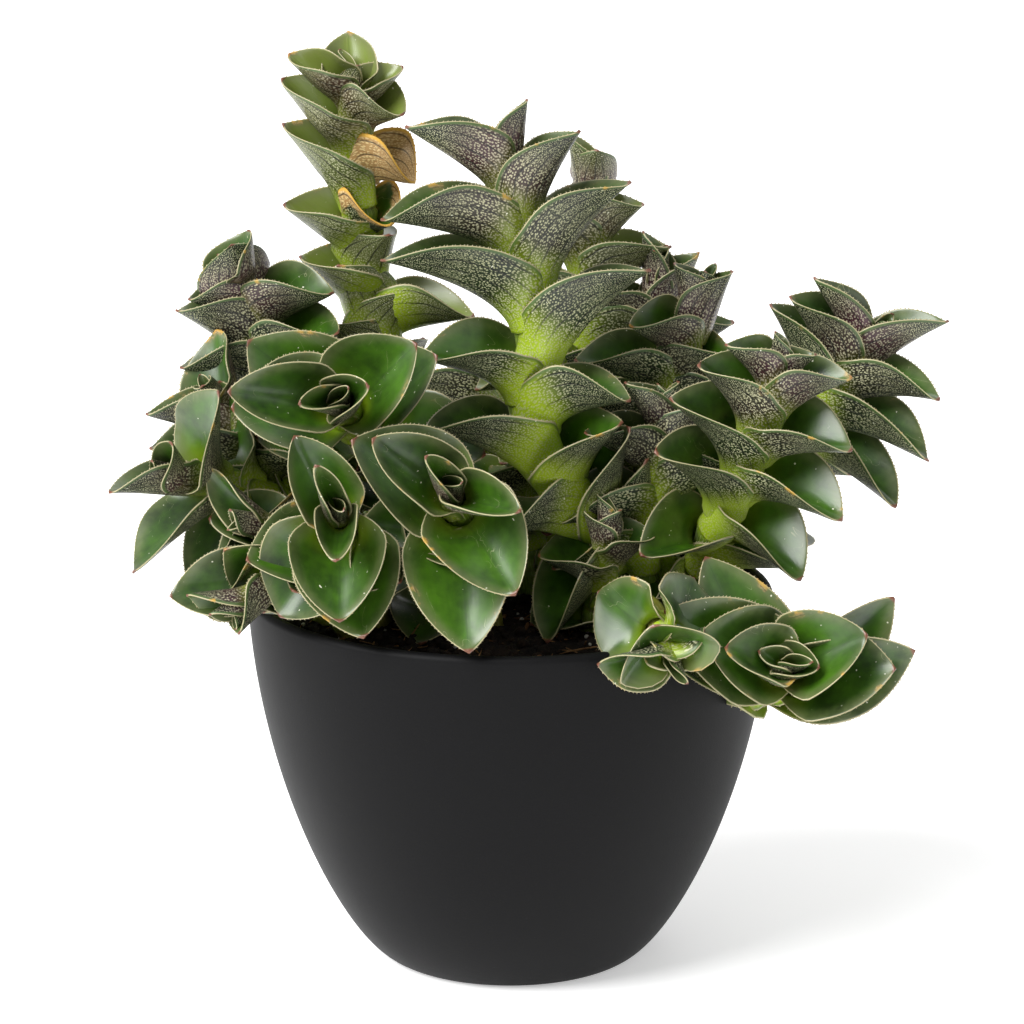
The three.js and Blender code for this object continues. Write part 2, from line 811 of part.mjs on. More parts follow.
/** A large leaf cut clear of its neighbours; it clasps a little wider where that would pinch it. */
function fittedLeaf(shoot, i, taken, looser = 0) {
	const leaf = leafSizes(shoot, shoot.leaves[i], i, leafThickness / 2 + gap + looser);
	const blade = clearOf(toSolid(leafGeometry(leaf, ownRows, ownColumns)), taken);
	if (isSound(welded(blade.simplify(smallestEdge))) || looser > loosest) return { leaf, blade };
	return fittedLeaf(shoot, i, taken, looser + looserStep);
}

/** The large leaves that are pieces of their own, cut clear of all that was made before them. */
function makeOwnLeaves(stems, taken) {
	for (const { shoot } of stems) {
		for (let i = 1; i <= shoot.ownLeaves; i += 1) {
			const { leaf, blade } = fittedLeaf(shoot, i, taken);
			const body = addPiece(`${shoot.name}_leaf_${String(i).padStart(2, '0')}`, blade, 'leaf');
			taken.push(body, toSolid(leafGeometry(leaf, ownRows, ownColumns, gap)));
		}
	}
}

/** The other leaves, each joined to the stem that it clasps, where there is room for most of it. */
function makeJoinedLeaves(stems, taken) {
	const joined = [];
	for (const stem of stems) {
		const { shoot } = stem;
		const others = taken.filter((solid) => solid !== stem.grown);
		let body = stem.body;
		const grown = [];
		shoot.leaves.forEach((entry, i) => {
			if (grown.length === (shoot.joinedLeaves ?? mostJoined) || (i >= 1 && i <= shoot.ownLeaves)) return;
			const leaf = leafSizes(shoot, entry, i, -sunk);
			const whole = toSolid(leafGeometry(leaf, joinedRows, joinedColumns));
			const blade = clearOf(whole, [...others, ...joined]);
			if (!blade || blade.volume() < leastShare * whole.volume()) return;
			const longer = largest(body.add(blade));
			if (!isSound(welded(longer.simplify(smallestEdge)))) return;
			body = longer;
			grown.push(toSolid(leafGeometry(leaf, joinedRows, joinedColumns, gap)));
		});
		joined.push(addPiece(`${shoot.name}_stem`, body, 'stem'), ...grown);
	}
}

const stems = makeStems(allShoots());
makePotAndSoil(stems);
const taken = [toSolid(potGeometry(gap)), toSolid(soilGeometry(gap)), ...stems.map(({ grown }) => grown)];
makeOwnLeaves(stems, taken);
makeJoinedLeaves(stems, taken);

export default plant;
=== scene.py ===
"""A potted chain plant in metres, in the frame of its CAD bodies.

Shoots are laid out in millimetres, as a stem's route and its leaves from the growing tip down. Each
leaf is a closed, boat-shaped shell along a bent midrib, folded at its keel and clasping the stem.
The pot is a turned wall with a rolled lip, and the soil is a rough crown with loose bits on it.
"""

import logging
import math
from dataclasses import dataclass
from enum import Enum

import bpy
import numpy as np
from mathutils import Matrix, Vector


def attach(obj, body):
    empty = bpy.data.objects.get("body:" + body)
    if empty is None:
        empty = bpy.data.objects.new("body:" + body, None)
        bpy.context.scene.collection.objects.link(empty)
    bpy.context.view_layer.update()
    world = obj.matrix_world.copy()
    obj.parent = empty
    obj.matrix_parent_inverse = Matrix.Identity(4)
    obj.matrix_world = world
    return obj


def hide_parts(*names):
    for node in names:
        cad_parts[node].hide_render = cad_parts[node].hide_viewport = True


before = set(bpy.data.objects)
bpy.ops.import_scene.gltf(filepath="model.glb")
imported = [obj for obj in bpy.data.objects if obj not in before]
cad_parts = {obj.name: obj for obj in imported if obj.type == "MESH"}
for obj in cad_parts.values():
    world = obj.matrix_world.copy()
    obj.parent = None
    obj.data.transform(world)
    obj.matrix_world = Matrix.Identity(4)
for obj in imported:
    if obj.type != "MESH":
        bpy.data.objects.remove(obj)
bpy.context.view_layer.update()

log = logging.getLogger("plant")

MM = 0.001
Array = np.ndarray
Triple = tuple[float, float, float]
Socket = bpy.types.NodeSocket

# What one unit of a piece's flat map stands for, in millimetres, or in radians across a turned
# piece, and one unit of the distance to the margin that a leaf's points carry.
MAP_MM = 100.0
MAP_TURN = 6.3
RIM_MM = 10.0

# Steps of this share spread the leaves' random shares evenly over 0 to 1.
GOLDEN = 0.618034

# Radius of the rings that stand for a point where a tube or a turned shape ends.
PINHOLE = 0.05


# Numbers and shapes


def ease(x: Array | float) -> Array:
    """A soft step from 0 to 1."""
    t = np.clip(x, 0.0, 1.0)
    return t * t * (3.0 - 2.0 * t)


def mix(a: float, b: float, share: Array | float) -> Array | float:
    """The value between a and b at a share of the way."""
    return a + (b - a) * share


def unit(vectors: Array) -> Array:
    """Vectors of the same directions with length 1."""
    return vectors / np.maximum(np.linalg.norm(vectors, axis=-1, keepdims=True), 1e-9)


def direction(heading: float, rise: float) -> Array:
    """The unit vector with a compass heading from +X towards +Y, and a rise above level.

    Args:
        heading: Degrees round the vertical.
        rise: Degrees above level.

    Returns:
        A vector of three numbers.
    """
    around, up = math.radians(heading), math.radians(rise)
    level = math.cos(up)
    return np.array([level * math.cos(around), level * math.sin(around), math.sin(up)])


def ripple(points: Array, waves: int, finest: float, seed: int) -> Array:
    """A smooth random height at each point: a sum of sine waves of random direction and phase.

    Args:
        points: Places, one row each.
        waves: How many waves are added.
        finest: Length of the shortest wave, in the points' unit; the longest is six times that.
        seed: Seed of the directions, lengths and phases.

    Returns:
        Heights of about -1 to 1, one for each point.
    """
    rng = np.random.default_rng(seed)
    ways = unit(rng.normal(size=(waves, points.shape[1])))
    lengths = finest * rng.uniform(1.0, 6.0, waves)
    phases = rng.uniform(0.0, 2 * np.pi, waves)
    return np.sin(points @ (ways * (2 * np.pi / lengths)[:, None]).T + phases).sum(1) / math.sqrt(2 * waves)


@dataclass
class Shell:
    """A mesh as arrays: places in millimetres, faces, a flat map, and four-number facts per point."""

    points: Array
    quads: Array
    triangles: Array
    flat: Array
    kind: Array
    edge: Array


def joined(shells: list[Shell]) -> Shell:
    """Several shells as one, with each one's face corners counted on from the shells before it.

    Args:
        shells: The shells to put together.

    Returns:
        One shell.
    """
    starts = np.cumsum([0] + [len(s.points) for s in shells[:-1]])
    return Shell(
        np.vstack([s.points for s in shells]),
        np.vstack([s.quads + n for s, n in zip(shells, starts)]),
        np.vstack([s.triangles + n for s, n in zip(shells, starts)]),
        np.vstack([s.flat for s in shells]),
        np.vstack([s.kind for s in shells]),
        np.vstack([s.edge for s in shells]),
    )


def ring_quads(rows: int, around: int) -> Array:
    """The quads of a tube whose rings follow each other: corner (row, i) is row * around + i.

    Args:
        rows: Number of rings.
        around: Points in a ring.

    Returns:
        Four corners a row.
    """
    row = np.arange(rows - 1)[:, None] * around
    i = np.arange(around)[None, :]
    after = (i + 1) % around
    quads = np.stack([row + i, row + after, row + around + after, row + around + i], axis=-1)
    return quads.reshape(-1, 4)


def turned_right_out(points: Array, quads: Array, triangles: Array) -> tuple[Array, Array]:
    """Faces in the order that makes the closed shell's volume positive, so that they point outwards.

    The volume is the sum over triangles of a . (b x c) / 6, with quads halved.

    Args:
        points: Places of the corners.
        quads: Faces of four corners.
        triangles: Faces of three corners.

    Returns:
        The quads and the triangles.
    """
    halves = np.vstack([quads[:, [0, 1, 2]], quads[:, [0, 2, 3]], triangles.reshape(-1, 3)])
    a, b, c = (points[halves[:, k]] for k in range(3))
    if np.einsum("ij,ij->i", a, np.cross(b, c)).sum() < 0:
        return quads[:, ::-1], triangles[:, ::-1]
    return quads, triangles


def circle(sides: int) -> Array:
    """The angles of a circle's points in radians."""
    return 2 * np.pi * np.arange(sides) / sides


def cubic(t: Array, a: Array, b: Array, c: Array, d: Array) -> Array:
    """The curve (1 - t)^3 a + 3 (1 - t)^2 t b + 3 (1 - t) t^2 c + t^3 d of four controls."""
    return (1 - t) ** 3 * a + 3 * (1 - t) ** 2 * t * b + 3 * (1 - t) * t**2 * c + t**3 * d


def closed_tube(points: Array, around: int) -> tuple[Array, Array]:
    """The faces of a tube of rings, with a fan of triangles over each end, all pointing outwards.

    Args:
        points: Places of the rings' points, ring after ring.
        around: Points in a ring.

    Returns:
        The quads and the triangles.
    """
    rows = len(points) // around
    spokes = np.arange(1, around - 1)
    fan = np.stack([np.zeros_like(spokes), spokes, spokes + 1], axis=1)
    triangles = np.vstack([fan[:, ::-1], fan + (rows - 1) * around])
    return turned_right_out(points, ring_quads(rows, around), triangles)


def make_object(name: str, shell: Shell, material: bpy.types.Material) -> bpy.types.Object:
    """A shell as a smooth-shaded Blender object at the origin.

    Args:
        name: The object's name.
        shell: Its mesh in millimetres.
        material: Its finish.

    Returns:
        The object, linked to the scene.
    """
    mesh = bpy.data.meshes.new(name)
    quads, triangles = len(shell.quads), len(shell.triangles)
    corners = np.concatenate([shell.quads.ravel(), shell.triangles.ravel()]).astype(np.int32)
    totals = np.concatenate([np.full(quads, 4), np.full(triangles, 3)]).astype(np.int32)
    starts = np.concatenate([[0], np.cumsum(totals)[:-1]]).astype(np.int32)
    mesh.vertices.add(len(shell.points))
    mesh.vertices.foreach_set("co", (shell.points * MM).astype(np.float32).ravel())
    mesh.loops.add(len(corners))
    mesh.loops.foreach_set("vertex_index", corners)
    mesh.polygons.add(quads + triangles)
    mesh.polygons.foreach_set("loop_start", starts)
    mesh.polygons.foreach_set("loop_total", totals)
    mesh.update(calc_edges=True)
    mesh.polygons.foreach_set("use_smooth", np.ones(quads + triangles, bool))
    mesh.uv_layers.new(name="flat").data.foreach_set("uv", shell.flat[corners].astype(np.float32).ravel())
    for layer, values in (("kind", shell.kind), ("edge", shell.edge)):
        facts = mesh.attributes.new(layer, "FLOAT_COLOR", "POINT")
        facts.data.foreach_set("color", values.astype(np.float32).ravel())
    mesh.materials.append(material)
    mesh.validate()
    piece = bpy.data.objects.new(name, mesh)
    bpy.context.scene.collection.objects.link(piece)
    return piece


def report(piece: bpy.types.Object, replaced: tuple[str, ...] = ()) -> None:
    """Ties a piece to the plant's one body, and reports it.

    Args:
        piece: The finished object.
        replaced: CAD nodes that it stands for.
    """
    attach(piece, "root")
    if replaced:
        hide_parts(*replaced)
    stands_for = ", ".join(replaced) or "nothing"
    log.info("%s: %d faces, stands for %s", piece.name, len(piece.data.polygons), stands_for)


# Layout of the plant


class Habit(Enum):
    """How a shoot holds its leaves: the fold of each half at the keel in degrees and the curl of
    each half in radians, for the youngest and for grown leaves, and how far tips bend back."""

    UPRIGHT = (50.0, 34.0, 0.9, 0.65, 15.0)
    CUPPED = (44.0, 30.0, 1.4, 1.05, 6.0)
    ROSETTE = (36.0, 14.0, 1.2, 0.5, 8.0)


@dataclass(frozen=True)
class Blade:
    """One leaf as laid out: its length from the stem's middle to the tip in millimetres, the heading
    and rise of its tip in degrees, a turn about its midrib, its width, curl and fold at the keel as
    shares of the shoot's, and how dried it is."""

    length: float
    heading: float
    rise: float
    turn: float = 0.0
    wide: float = 1.0
    roll: float = 1.0
    keel: float = 1.0
    dry: float = 0.0


@dataclass(frozen=True)
class Shoot:
    """One shoot: its stem's route from below the soil to the growing tip, and its leaves from the
    youngest down. own counts the leaves, after the innermost, that are pieces of their own, and
    more the plain leaves that go on down the stem. flush is how purple its young leaves are, and
    yellow how olive all of them are. extra holds leaves between the ranks, each with its distance
    below the growing tip."""

    name: str
    habit: Habit
    radius: float
    width: float
    spacing: float
    route: tuple[Triple, ...]
    blades: tuple[Blade, ...]
    own: int = 0
    more: int = 3
    flush: float = 0.5
    yellow: float = 0.0
    extra: tuple[tuple[float, Blade], ...] = ()


SHOWN = (
    Shoot(
        "main", Habit.UPRIGHT, 4.6, 31, 9,
        ((44, 6, 80), (34, 0, 97), (15, -10, 114), (5, -13, 136), (6, -13, 158), (-1, -13, 195)),
        (
            Blade(18, 0, 75), Blade(30, 195, 33, wide=1.25, keel=0.8), Blade(27, -15, 56), Blade(36, 195, 17),
            Blade(36, -12, 49), Blade(42, 197, 26), Blade(37, -15, 41), Blade(30, 199, 25, turn=-15),
            Blade(27, -27, 25, turn=-20), Blade(37, 210, 22, turn=-15), Blade(29, -50, 50), Blade(30, 225, 6),
            Blade(37, -85, 60), Blade(42, 233, -17), Blade(42, 255, 58), Blade(32, 245, 5),
        ),
        own=11, more=0, flush=0.6,
    ),
    Shoot(
        "tall", Habit.CUPPED, 3.6, 29, 6.5,
        ((-15, 12, 80), (-25, 15, 110), (-33, 19, 146), (-36, 20, 178), (-38, 20, 208)),
        (
            Blade(9, -60, 70, wide=1.2), Blade(21, 185, 43, turn=-50, wide=1.2),
            Blade(17, -40, 22, wide=1.15, keel=0.7), Blade(27, 192, 48, turn=-45), Blade(15, -23, 5, dry=0.9),
            Blade(29, 195, 49, turn=-35), Blade(13, -55, 20, dry=0.5), Blade(25, 194, 37, turn=-30),
            Blade(19, -60, 52), Blade(23, 194, 41, turn=-30), Blade(24, 230, 58), Blade(24, -35, 60),
            Blade(25, 220, 50), Blade(24, 60, 45), Blade(24, 200, 35),
        ),
        more=0, flush=0.7, yellow=0.6,
        extra=(
            (2.0, Blade(18, 100, 66, roll=0.8, keel=0.4)),
            (5.0, Blade(17, -5, 45, turn=40, wide=0.8, keel=0.6)),
            (62.0, Blade(27, -15, 20)),
        ),
    ),
    Shoot(
        "upper_left", Habit.ROSETTE, 3.8, 30, 5,
        ((-21, 3, 80), (-25, 2, 104), (-31, -6, 124), (-37, -20, 137), (-39, -35, 144)),
        (
            Blade(18, 240, 12), Blade(21, -70, 25), Blade(31, 210, 14), Blade(29, -40, 42), Blade(30, 200, 10),
            Blade(34, 190, 40), Blade(32, -40, 45),
        ),
        own=3, flush=0.35,
    ),
    Shoot(
        "front_left", Habit.ROSETTE, 3.8, 29, 4.5,
        ((-30, -13, 80), (-34, -21, 94), (-38, -36, 110), (-39, -50, 121)),
        (
            Blade(20, 250, 50), Blade(21, -90, -10), Blade(26, 210, 63), Blade(27, -90, -32),
            Blade(23, 210, -42), Blade(30, -80, -26),
        ),
        own=3, flush=0.25,
    ),
    Shoot(
        "front_middle", Habit.ROSETTE, 4, 30, 4.5,
        ((-5, -14, 80), (-7, -22, 98), (-11, -37, 116), (-13, -50, 126)),
        (
            Blade(20, 247, 40), Blade(26, -55, 6), Blade(29, 212, 40), Blade(33, -65, -21), Blade(35, 204, 39),
            Blade(38, -88, -32), Blade(28, 204, 15, wide=0.8),
        ),
        own=3, more=2, flush=0.55,
    ),
    Shoot(
        "hanging", Habit.ROSETTE, 3.8, 27, 2.2,
        ((38, -22, 80), (46, -30, 96), (56, -38, 94), (60, -43, 80), (63, -56, 87)),
        (
            Blade(9, 210, 35), Blade(12, -51, 16), Blade(20, 219, 28), Blade(25, -29, 31), Blade(27, 215, 33),
            Blade(30, -26, 13, roll=0.7), Blade(36, 207, 36), Blade(36, -20, 18, wide=0.92),
            Blade(33, 186, 63, turn=40), Blade(35, -11, 32, turn=-50, wide=0.85),
        ),
        own=3, flush=0.15,
    ),
    Shoot(
        "rim", Habit.ROSETTE, 3.4, 22, 2.4,
        ((26, -32, 80), (30, -42, 97), (34, -55, 96), (36, -64, 92)),
        (
            Blade(7, 200, 30), Blade(10, 20, 25), Blade(18, 208, -8),
        ),
        more=0, flush=0.1,
        extra=(
            (4, Blade(11, 250, 38, wide=1.5, roll=0.8, keel=0.6)),
            (8, Blade(15, 40, 50, wide=1.2, roll=0.7, keel=0.6)),
            (11, Blade(16, 165, 28, roll=0.8, keel=0.7)),
        ),
    ),
    Shoot(
        "front_right", Habit.UPRIGHT, 4.2, 29, 6.5,
        ((40, 4, 80), (46, -4, 98), (52, -14, 116), (58, -23, 134), (62, -27, 149)),
        (
            Blade(11, -10, 35), Blade(17, 198, 45), Blade(22, -14, 25), Blade(25, 209, 47), Blade(26, -28, 8),
            Blade(31, 218, 43), Blade(31, -38, -4), Blade(35, 232, 35), Blade(28, -45, -15),
        ),
        own=5, more=2, flush=0.6,
    ),
    Shoot(
        "far_right", Habit.UPRIGHT, 3.8, 26, 4.5,
        ((46, 16, 80), (54, 12, 104), (66, 6, 125), (76, 2, 140), (84, 0, 150)),
        (
            Blade(12, 0, 50), Blade(23, 200, 62), Blade(28, -11, 27), Blade(26, 214, 59), Blade(30, -25, 3),
            Blade(30, 215, 64), Blade(35, -32, -9), Blade(24, 200, 55), Blade(37, -44, -13),
        ),
        own=4, flush=0.8,
    ),
    Shoot(
        "middle_right", Habit.CUPPED, 3.6, 27, 6,
        ((30, 4, 80), (33, 8, 108), (38, 8, 132), (41, 5, 146), (45, 4, 160)),
        (
            Blade(10, -60, 70, wide=1.3), Blade(15, 200, 70), Blade(20, -10, 58), Blade(19, 217, 33),
            Blade(18, -40, 30), Blade(28, 201, 26), Blade(24, -25, 25), Blade(26, 200, 20),
        ),
        more=4, flush=0.8,
    ),
    Shoot(
        "inner_right", Habit.CUPPED, 3.4, 26, 6,
        ((30, -6, 80), (33, -8, 105), (36, -10, 125), (37, -11, 134)),
        (
            Blade(12, -30, 75), Blade(18, 200, 55), Blade(20, -20, 45), Blade(24, 205, 35), Blade(26, -20, 25),
            Blade(25, 205, 8), Blade(22, 48, 8),
        ),
        more=1, flush=0.4,
    ),
    Shoot(
        "rear_middle", Habit.CUPPED, 3.4, 29, 8,
        ((14, 22, 80), (16, 26, 115), (18, 28, 150), (20, 26, 182)),
        (
            Blade(15, -80, 66, wide=1.35, roll=0.8, keel=0.5), Blade(22, 190, 75), Blade(17, -10, 38),
            Blade(24, 195, 40), Blade(26, -10, 35), Blade(28, 200, 25), Blade(28, -15, 20),
        ),
        more=5, flush=0.6, yellow=0.4,
    ),
    Shoot(
        "rear_right", Habit.CUPPED, 3.4, 28, 7,
        ((26, 22, 80), (30, 26, 110), (34, 26, 140), (36, 24, 160)),
        (
            Blade(12, 0, 80), Blade(19, 190, 80), Blade(22, 0, 60), Blade(24, 190, 40), Blade(26, -5, 35),
            Blade(28, 185, 25),
        ),
        more=4, flush=0.9,
    ),
    Shoot(
        "far_left", Habit.ROSETTE, 3.6, 26, 4.5,
        ((-36, -2, 80), (-46, -6, 100), (-58, -12, 116), (-70, -18, 122), (-77, -22, 123)),
        (
            Blade(13, 230, 30), Blade(19, 254, 39), Blade(26, 211, 0),
            Blade(28, -90, 62, wide=1.15, roll=0.85, keel=0.8), Blade(34, 214, -30),
            Blade(28, 140, 66, wide=1.15, keel=0.6), Blade(32, 231, -37),
        ),
        flush=0.6,
    ),
    Shoot(
        "low_left", Habit.ROSETTE, 3.4, 24, 5,
        ((-32, -10, 80), (-42, -18, 98), (-52, -26, 110), (-58, -32, 114)),
        (
            Blade(13, 230, 30), Blade(21, 185, 46), Blade(20, 215, -35), Blade(22, 195, 20),
            Blade(22, 230, -30),
        ),
        flush=0.5,
    ),
    Shoot(
        "rim_left", Habit.ROSETTE, 3.4, 22, 4.5,
        ((-34, -20, 80), (-44, -28, 96), (-54, -36, 102), (-60, -42, 99)),
        (
            Blade(12, 215, -10), Blade(17, 190, 0), Blade(17, 243, -30), Blade(27, 189, -5), Blade(22, 210, 30),
        ),
        flush=0.5,
    ),
    Shoot(
        "bud_left", Habit.CUPPED, 3.6, 29, 5.5,
        ((-28, 8, 80), (-40, 10, 106), (-52, 10, 130), (-60, 10, 150), (-64, 8, 163)),
        (
            Blade(15, 60, 82, wide=1.7, roll=0.8, keel=0.5), Blade(16, 232, 69, wide=1.35, roll=0.65, keel=0.4),
            Blade(17, 195, 20), Blade(25, -31, 32), Blade(26, 195, 30), Blade(28, -48, 32), Blade(28, 200, 20),
            Blade(28, -30, 20), Blade(22, 150, 30), Blade(24, -50, 15),
        ),
        more=0, flush=1.0,
    ),
    Shoot(
        "side_left", Habit.CUPPED, 3.4, 27, 5,
        ((-34, 2, 80), (-48, 0, 104), (-60, -4, 124), (-68, -6, 136)),
        (
            Blade(13, 238, 42, wide=1.4), Blade(23, 115, 65, wide=1.35, roll=0.7, keel=0.4), Blade(24, 190, 15),
            Blade(26, -30, 25), Blade(28, 184, 10), Blade(28, -40, 15),
        ),
        flush=0.9,
    ),
)

# Shoots at the back and inside. Their leaves follow one rule: two ranks that turn a little round
# the stem, each leaf longer and more open than the one above it. Each shoot has its name, its
# route, the heading of its first rank and the length of its grown leaves.
HIDDEN = (
    ("back_left", ((-24, 30, 80), (-36, 44, 104), (-47, 58, 118)), 20, 29),
    ("back_middle", ((0, 34, 80), (-3, 50, 110), (-6, 65, 126)), -10, 29),
    ("back_right", ((26, 34, 80), (34, 48, 102), (42, 60, 114)), 35, 29),
    ("side_right", ((46, 26, 80), (58, 34, 102), (70, 38, 114)), 80, 29),
    ("back_corner", ((-42, 18, 80), (-56, 28, 100), (-68, 36, 112)), -70, 29),
    ("inner_back", ((6, 8, 80), (4, 10, 104), (2, 8, 124)), 15, 29),
    ("inner_left", ((-12, -4, 80), (-15, -6, 100), (-17, -8, 116)), 200, 29),
    ("inner_middle", ((20, -14, 80), (22, -18, 98), (23, -21, 110)), -20, 18),
)


# The plant's forms


class StemLine:
    """The middle line of a stem: a Catmull-Rom curve through its route, measured along its length."""

    per_span = 40

    def __init__(self, route: tuple[Triple, ...]) -> None:
        """Samples the curve: on each span, a cubic whose end slopes are half the step from the
        point before to the point after.

        Args:
            route: Points from below the soil to the growing tip, in millimetres.
        """
        given = np.array(route, float)
        padded = np.vstack([2 * given[0] - given[1], given, 2 * given[-1] - given[-2]])
        before, start, end, after = (padded[k : len(padded) - 3 + k, None] for k in range(4))
        t = np.linspace(0, 1, self.per_span, endpoint=False)[None, :, None]
        first, last = (end - before) / 2, (after - start) / 2
        cubic = (
            (2 * t**3 - 3 * t**2 + 1) * start
            + (t**3 - 2 * t**2 + t) * first
            + (3 * t**2 - 2 * t**3) * end
            + (t**3 - t**2) * last
        )
        self.points = np.vstack([cubic.reshape(-1, 3), given[-1:]])
        self.along = np.concatenate([[0], np.cumsum(np.linalg.norm(np.diff(self.points, axis=0), axis=1))])
        self.length = float(self.along[-1])
        self.slopes = unit(np.gradient(self.points, axis=0))

    def at(self, down: Array | float) -> tuple[Array, Array]:
        """Place and direction of the stem at distances below its growing tip.

        Args:
            down: Distances in millimetres.

        Returns:
            Places and unit directions, one row each.
        """
        reach = np.clip(self.length - np.atleast_1d(down), 0, self.length)
        place = np.stack([np.interp(reach, self.along, self.points[:, k]) for k in range(3)], axis=1)
        slope = np.stack([np.interp(reach, self.along, self.slopes[:, k]) for k in range(3)], axis=1)
        return place, unit(slope)


@dataclass
class LeafForm:
    """A leaf's shell. The midrib is a cubic that leaves the stem along its axis and bends out to the
    tip. At each place along it the two halves rise from the keel by the fold angle and curl on."""

    centre: Array
    axis: Array
    reach: Array
    length: float
    clasp: float
    half_width: float
    fold: float
    cup: float
    arch: float
    turn: float
    youth: float
    dry: float
    flush: float
    yellow: float
    seed: int
    thickness: float
    rows: int = 26
    around: int = 36
    last_ring: float = 0.997

    # Shares of the way along, at which the blade is widest, its fold and curl are at their full, and
    # its turn is done; the base's width in clasps; and how suddenly the blade narrows to its tip.
    widest_at: float = 0.38
    opened_at: float = 0.42
    turned_at: float = 0.6
    base_width: float = 2.6
    tip_power: float = 2.4

    # Shares of the length by which the midrib's inner controls are up the stem, out from it and
    # back from the tip.
    rib_up: float = 0.22
    rib_out: float = 0.04
    rib_back: float = 0.36

    # The keel's share of the half width, and the slices that are added up across a half.
    keel_share: float = 0.18
    slices: int = 12

    # Waves of the margin: their height in millimetres, their number along the leaf, the step
    # between its two sides and between leaves, and where they are at their full.
    wave_height: float = 0.35
    wave_count: float = 1.6
    wave_sides: float = 0.2
    wave_leaves: float = 1.7
    wave_at: float = 0.3

    # The blade's thickness at the tip as a share, where it begins to thin, how round its edge is,
    # and how sharply one face ends and the other begins there.
    tip_thickness: float = 0.4
    thins_from: float = 0.3
    roundness: float = 0.75
    facing: float = 6

    # Teeth: their gap, half length, half thickness, depth in the margin, lean and least and most
    # height in millimetres, and the shares of the way along between which they stand.
    tooth_gap: float = 0.8
    tooth_long: float = 0.2
    tooth_thick: float = 0.12
    tooth_sunk: float = 0.15
    tooth_lean: float = 0.12
    tooth_height: tuple[float, float] = (0.22, 0.42)
    tooth_span: tuple[float, float] = (0.05, 0.97)

    def rib(self, u: Array) -> tuple[Array, Array, Array, Array]:
        """The midrib as a cubic with four controls: the stem's side, up along the stem, back from
        the tip, and the tip.

        Args:
            u: Shares of the way along it.

        Returns:
            Places, unit tangents, the unit vectors across the blade and those above it.
        """
        outward = unit(self.reach - self.axis * (self.reach @ self.axis))
        tip = self.centre + self.reach * self.length
        start = self.centre + outward * self.clasp
        chord = unit(tip - start)
        inward = unit(self.axis - chord * (self.axis @ chord))
        end = chord * math.cos(self.arch) - inward * math.sin(self.arch)
        rise = start + self.axis * (self.rib_up * self.length) + outward * (self.rib_out * self.length)
        back = tip - end * (self.rib_back * self.length)
        t = u[:, None]
        place = cubic(t, start, rise, back, tip)
        tangent = unit((1 - t) ** 2 * (rise - start) + 2 * (1 - t) * t * (back - rise) + t**2 * (tip - back))
        side = np.cross(self.axis, outward)
        above = np.cross(tangent, side)
        turned = self.turn * ease(t / self.turned_at)
        across = side * np.cos(turned) + above * np.sin(turned)
        return place, tangent, across, unit(np.cross(tangent, across))

    def half(self, u: Array) -> Array:
        """Width of one half laid flat: a soft step from the clasping base to the widest place, less
        a power of the way from there to the tip.

        Args:
            u: Shares of the way along.

        Returns:
            Widths in millimetres.
        """
        taper = np.clip((u - self.widest_at) / (1 - self.widest_at), 0, 1)
        wide = mix(self.base_width * self.clasp, self.half_width, ease(u / self.widest_at))
        return wide * (1 - taper**self.tip_power)

    def section(self, u: Array, out: Array) -> tuple[Array, Array, Array]:
        """Offsets from the midrib at distances out on the blade, by adding up the cosine and sine
        of a slope that steps up to the fold at the keel and then grows with the curl.

        Args:
            u: Shares of the way along, as a column.
            out: Distances out from the midrib laid flat, in millimetres.

        Returns:
            Offsets across, offsets above, and the slope in radians.
        """
        opened = ease(u / self.opened_at)
        curl = mix(1 / self.clasp, self.cup / self.half_width, opened)
        fold = self.fold * opened

        def slope(s: Array, lift: Array, bend: Array) -> Array:
            """The slope at distances out: a soft step at the keel and a steady curl."""
            return lift * ease(s / (self.keel_share * self.half_width)) + bend * s

        steps = (np.arange(self.slices) + 0.5) / self.slices
        angle = slope(out[..., None] * steps, fold[..., None], curl[..., None])
        return np.cos(angle).mean(-1) * out, np.sin(angle).mean(-1) * out, slope(out, fold, curl)

    def surface(self, u: Array, spread: Array, lift: Array) -> Array:
        """Places on the leaf.

        Args:
            u: Shares of the way along, one a row.
            spread: Shares of the half width, from -1 to 1, one a row and column.
            lift: Distances above the middle of the leaf's thickness, likewise.

        Returns:
            Places in millimetres, by row and column.
        """
        place, _, across, above = self.rib(u)
        column = u[:, None]
        out = np.abs(spread) * self.half(u)[:, None]
        aside, up, slope = self.section(column, out)
        cycles = self.wave_count * column + self.wave_sides * np.sign(spread)
        wave = np.sin(2 * np.pi * cycles + self.seed * self.wave_leaves) * ease(column / self.wave_at)
        up = up + self.wave_height * wave * np.abs(spread) ** 2
        aside = np.sign(spread) * (aside - lift * np.sin(slope))
        up = up + lift * np.cos(slope)
        return place[:, None] + across[:, None] * aside[..., None] + above[:, None] * up[..., None]

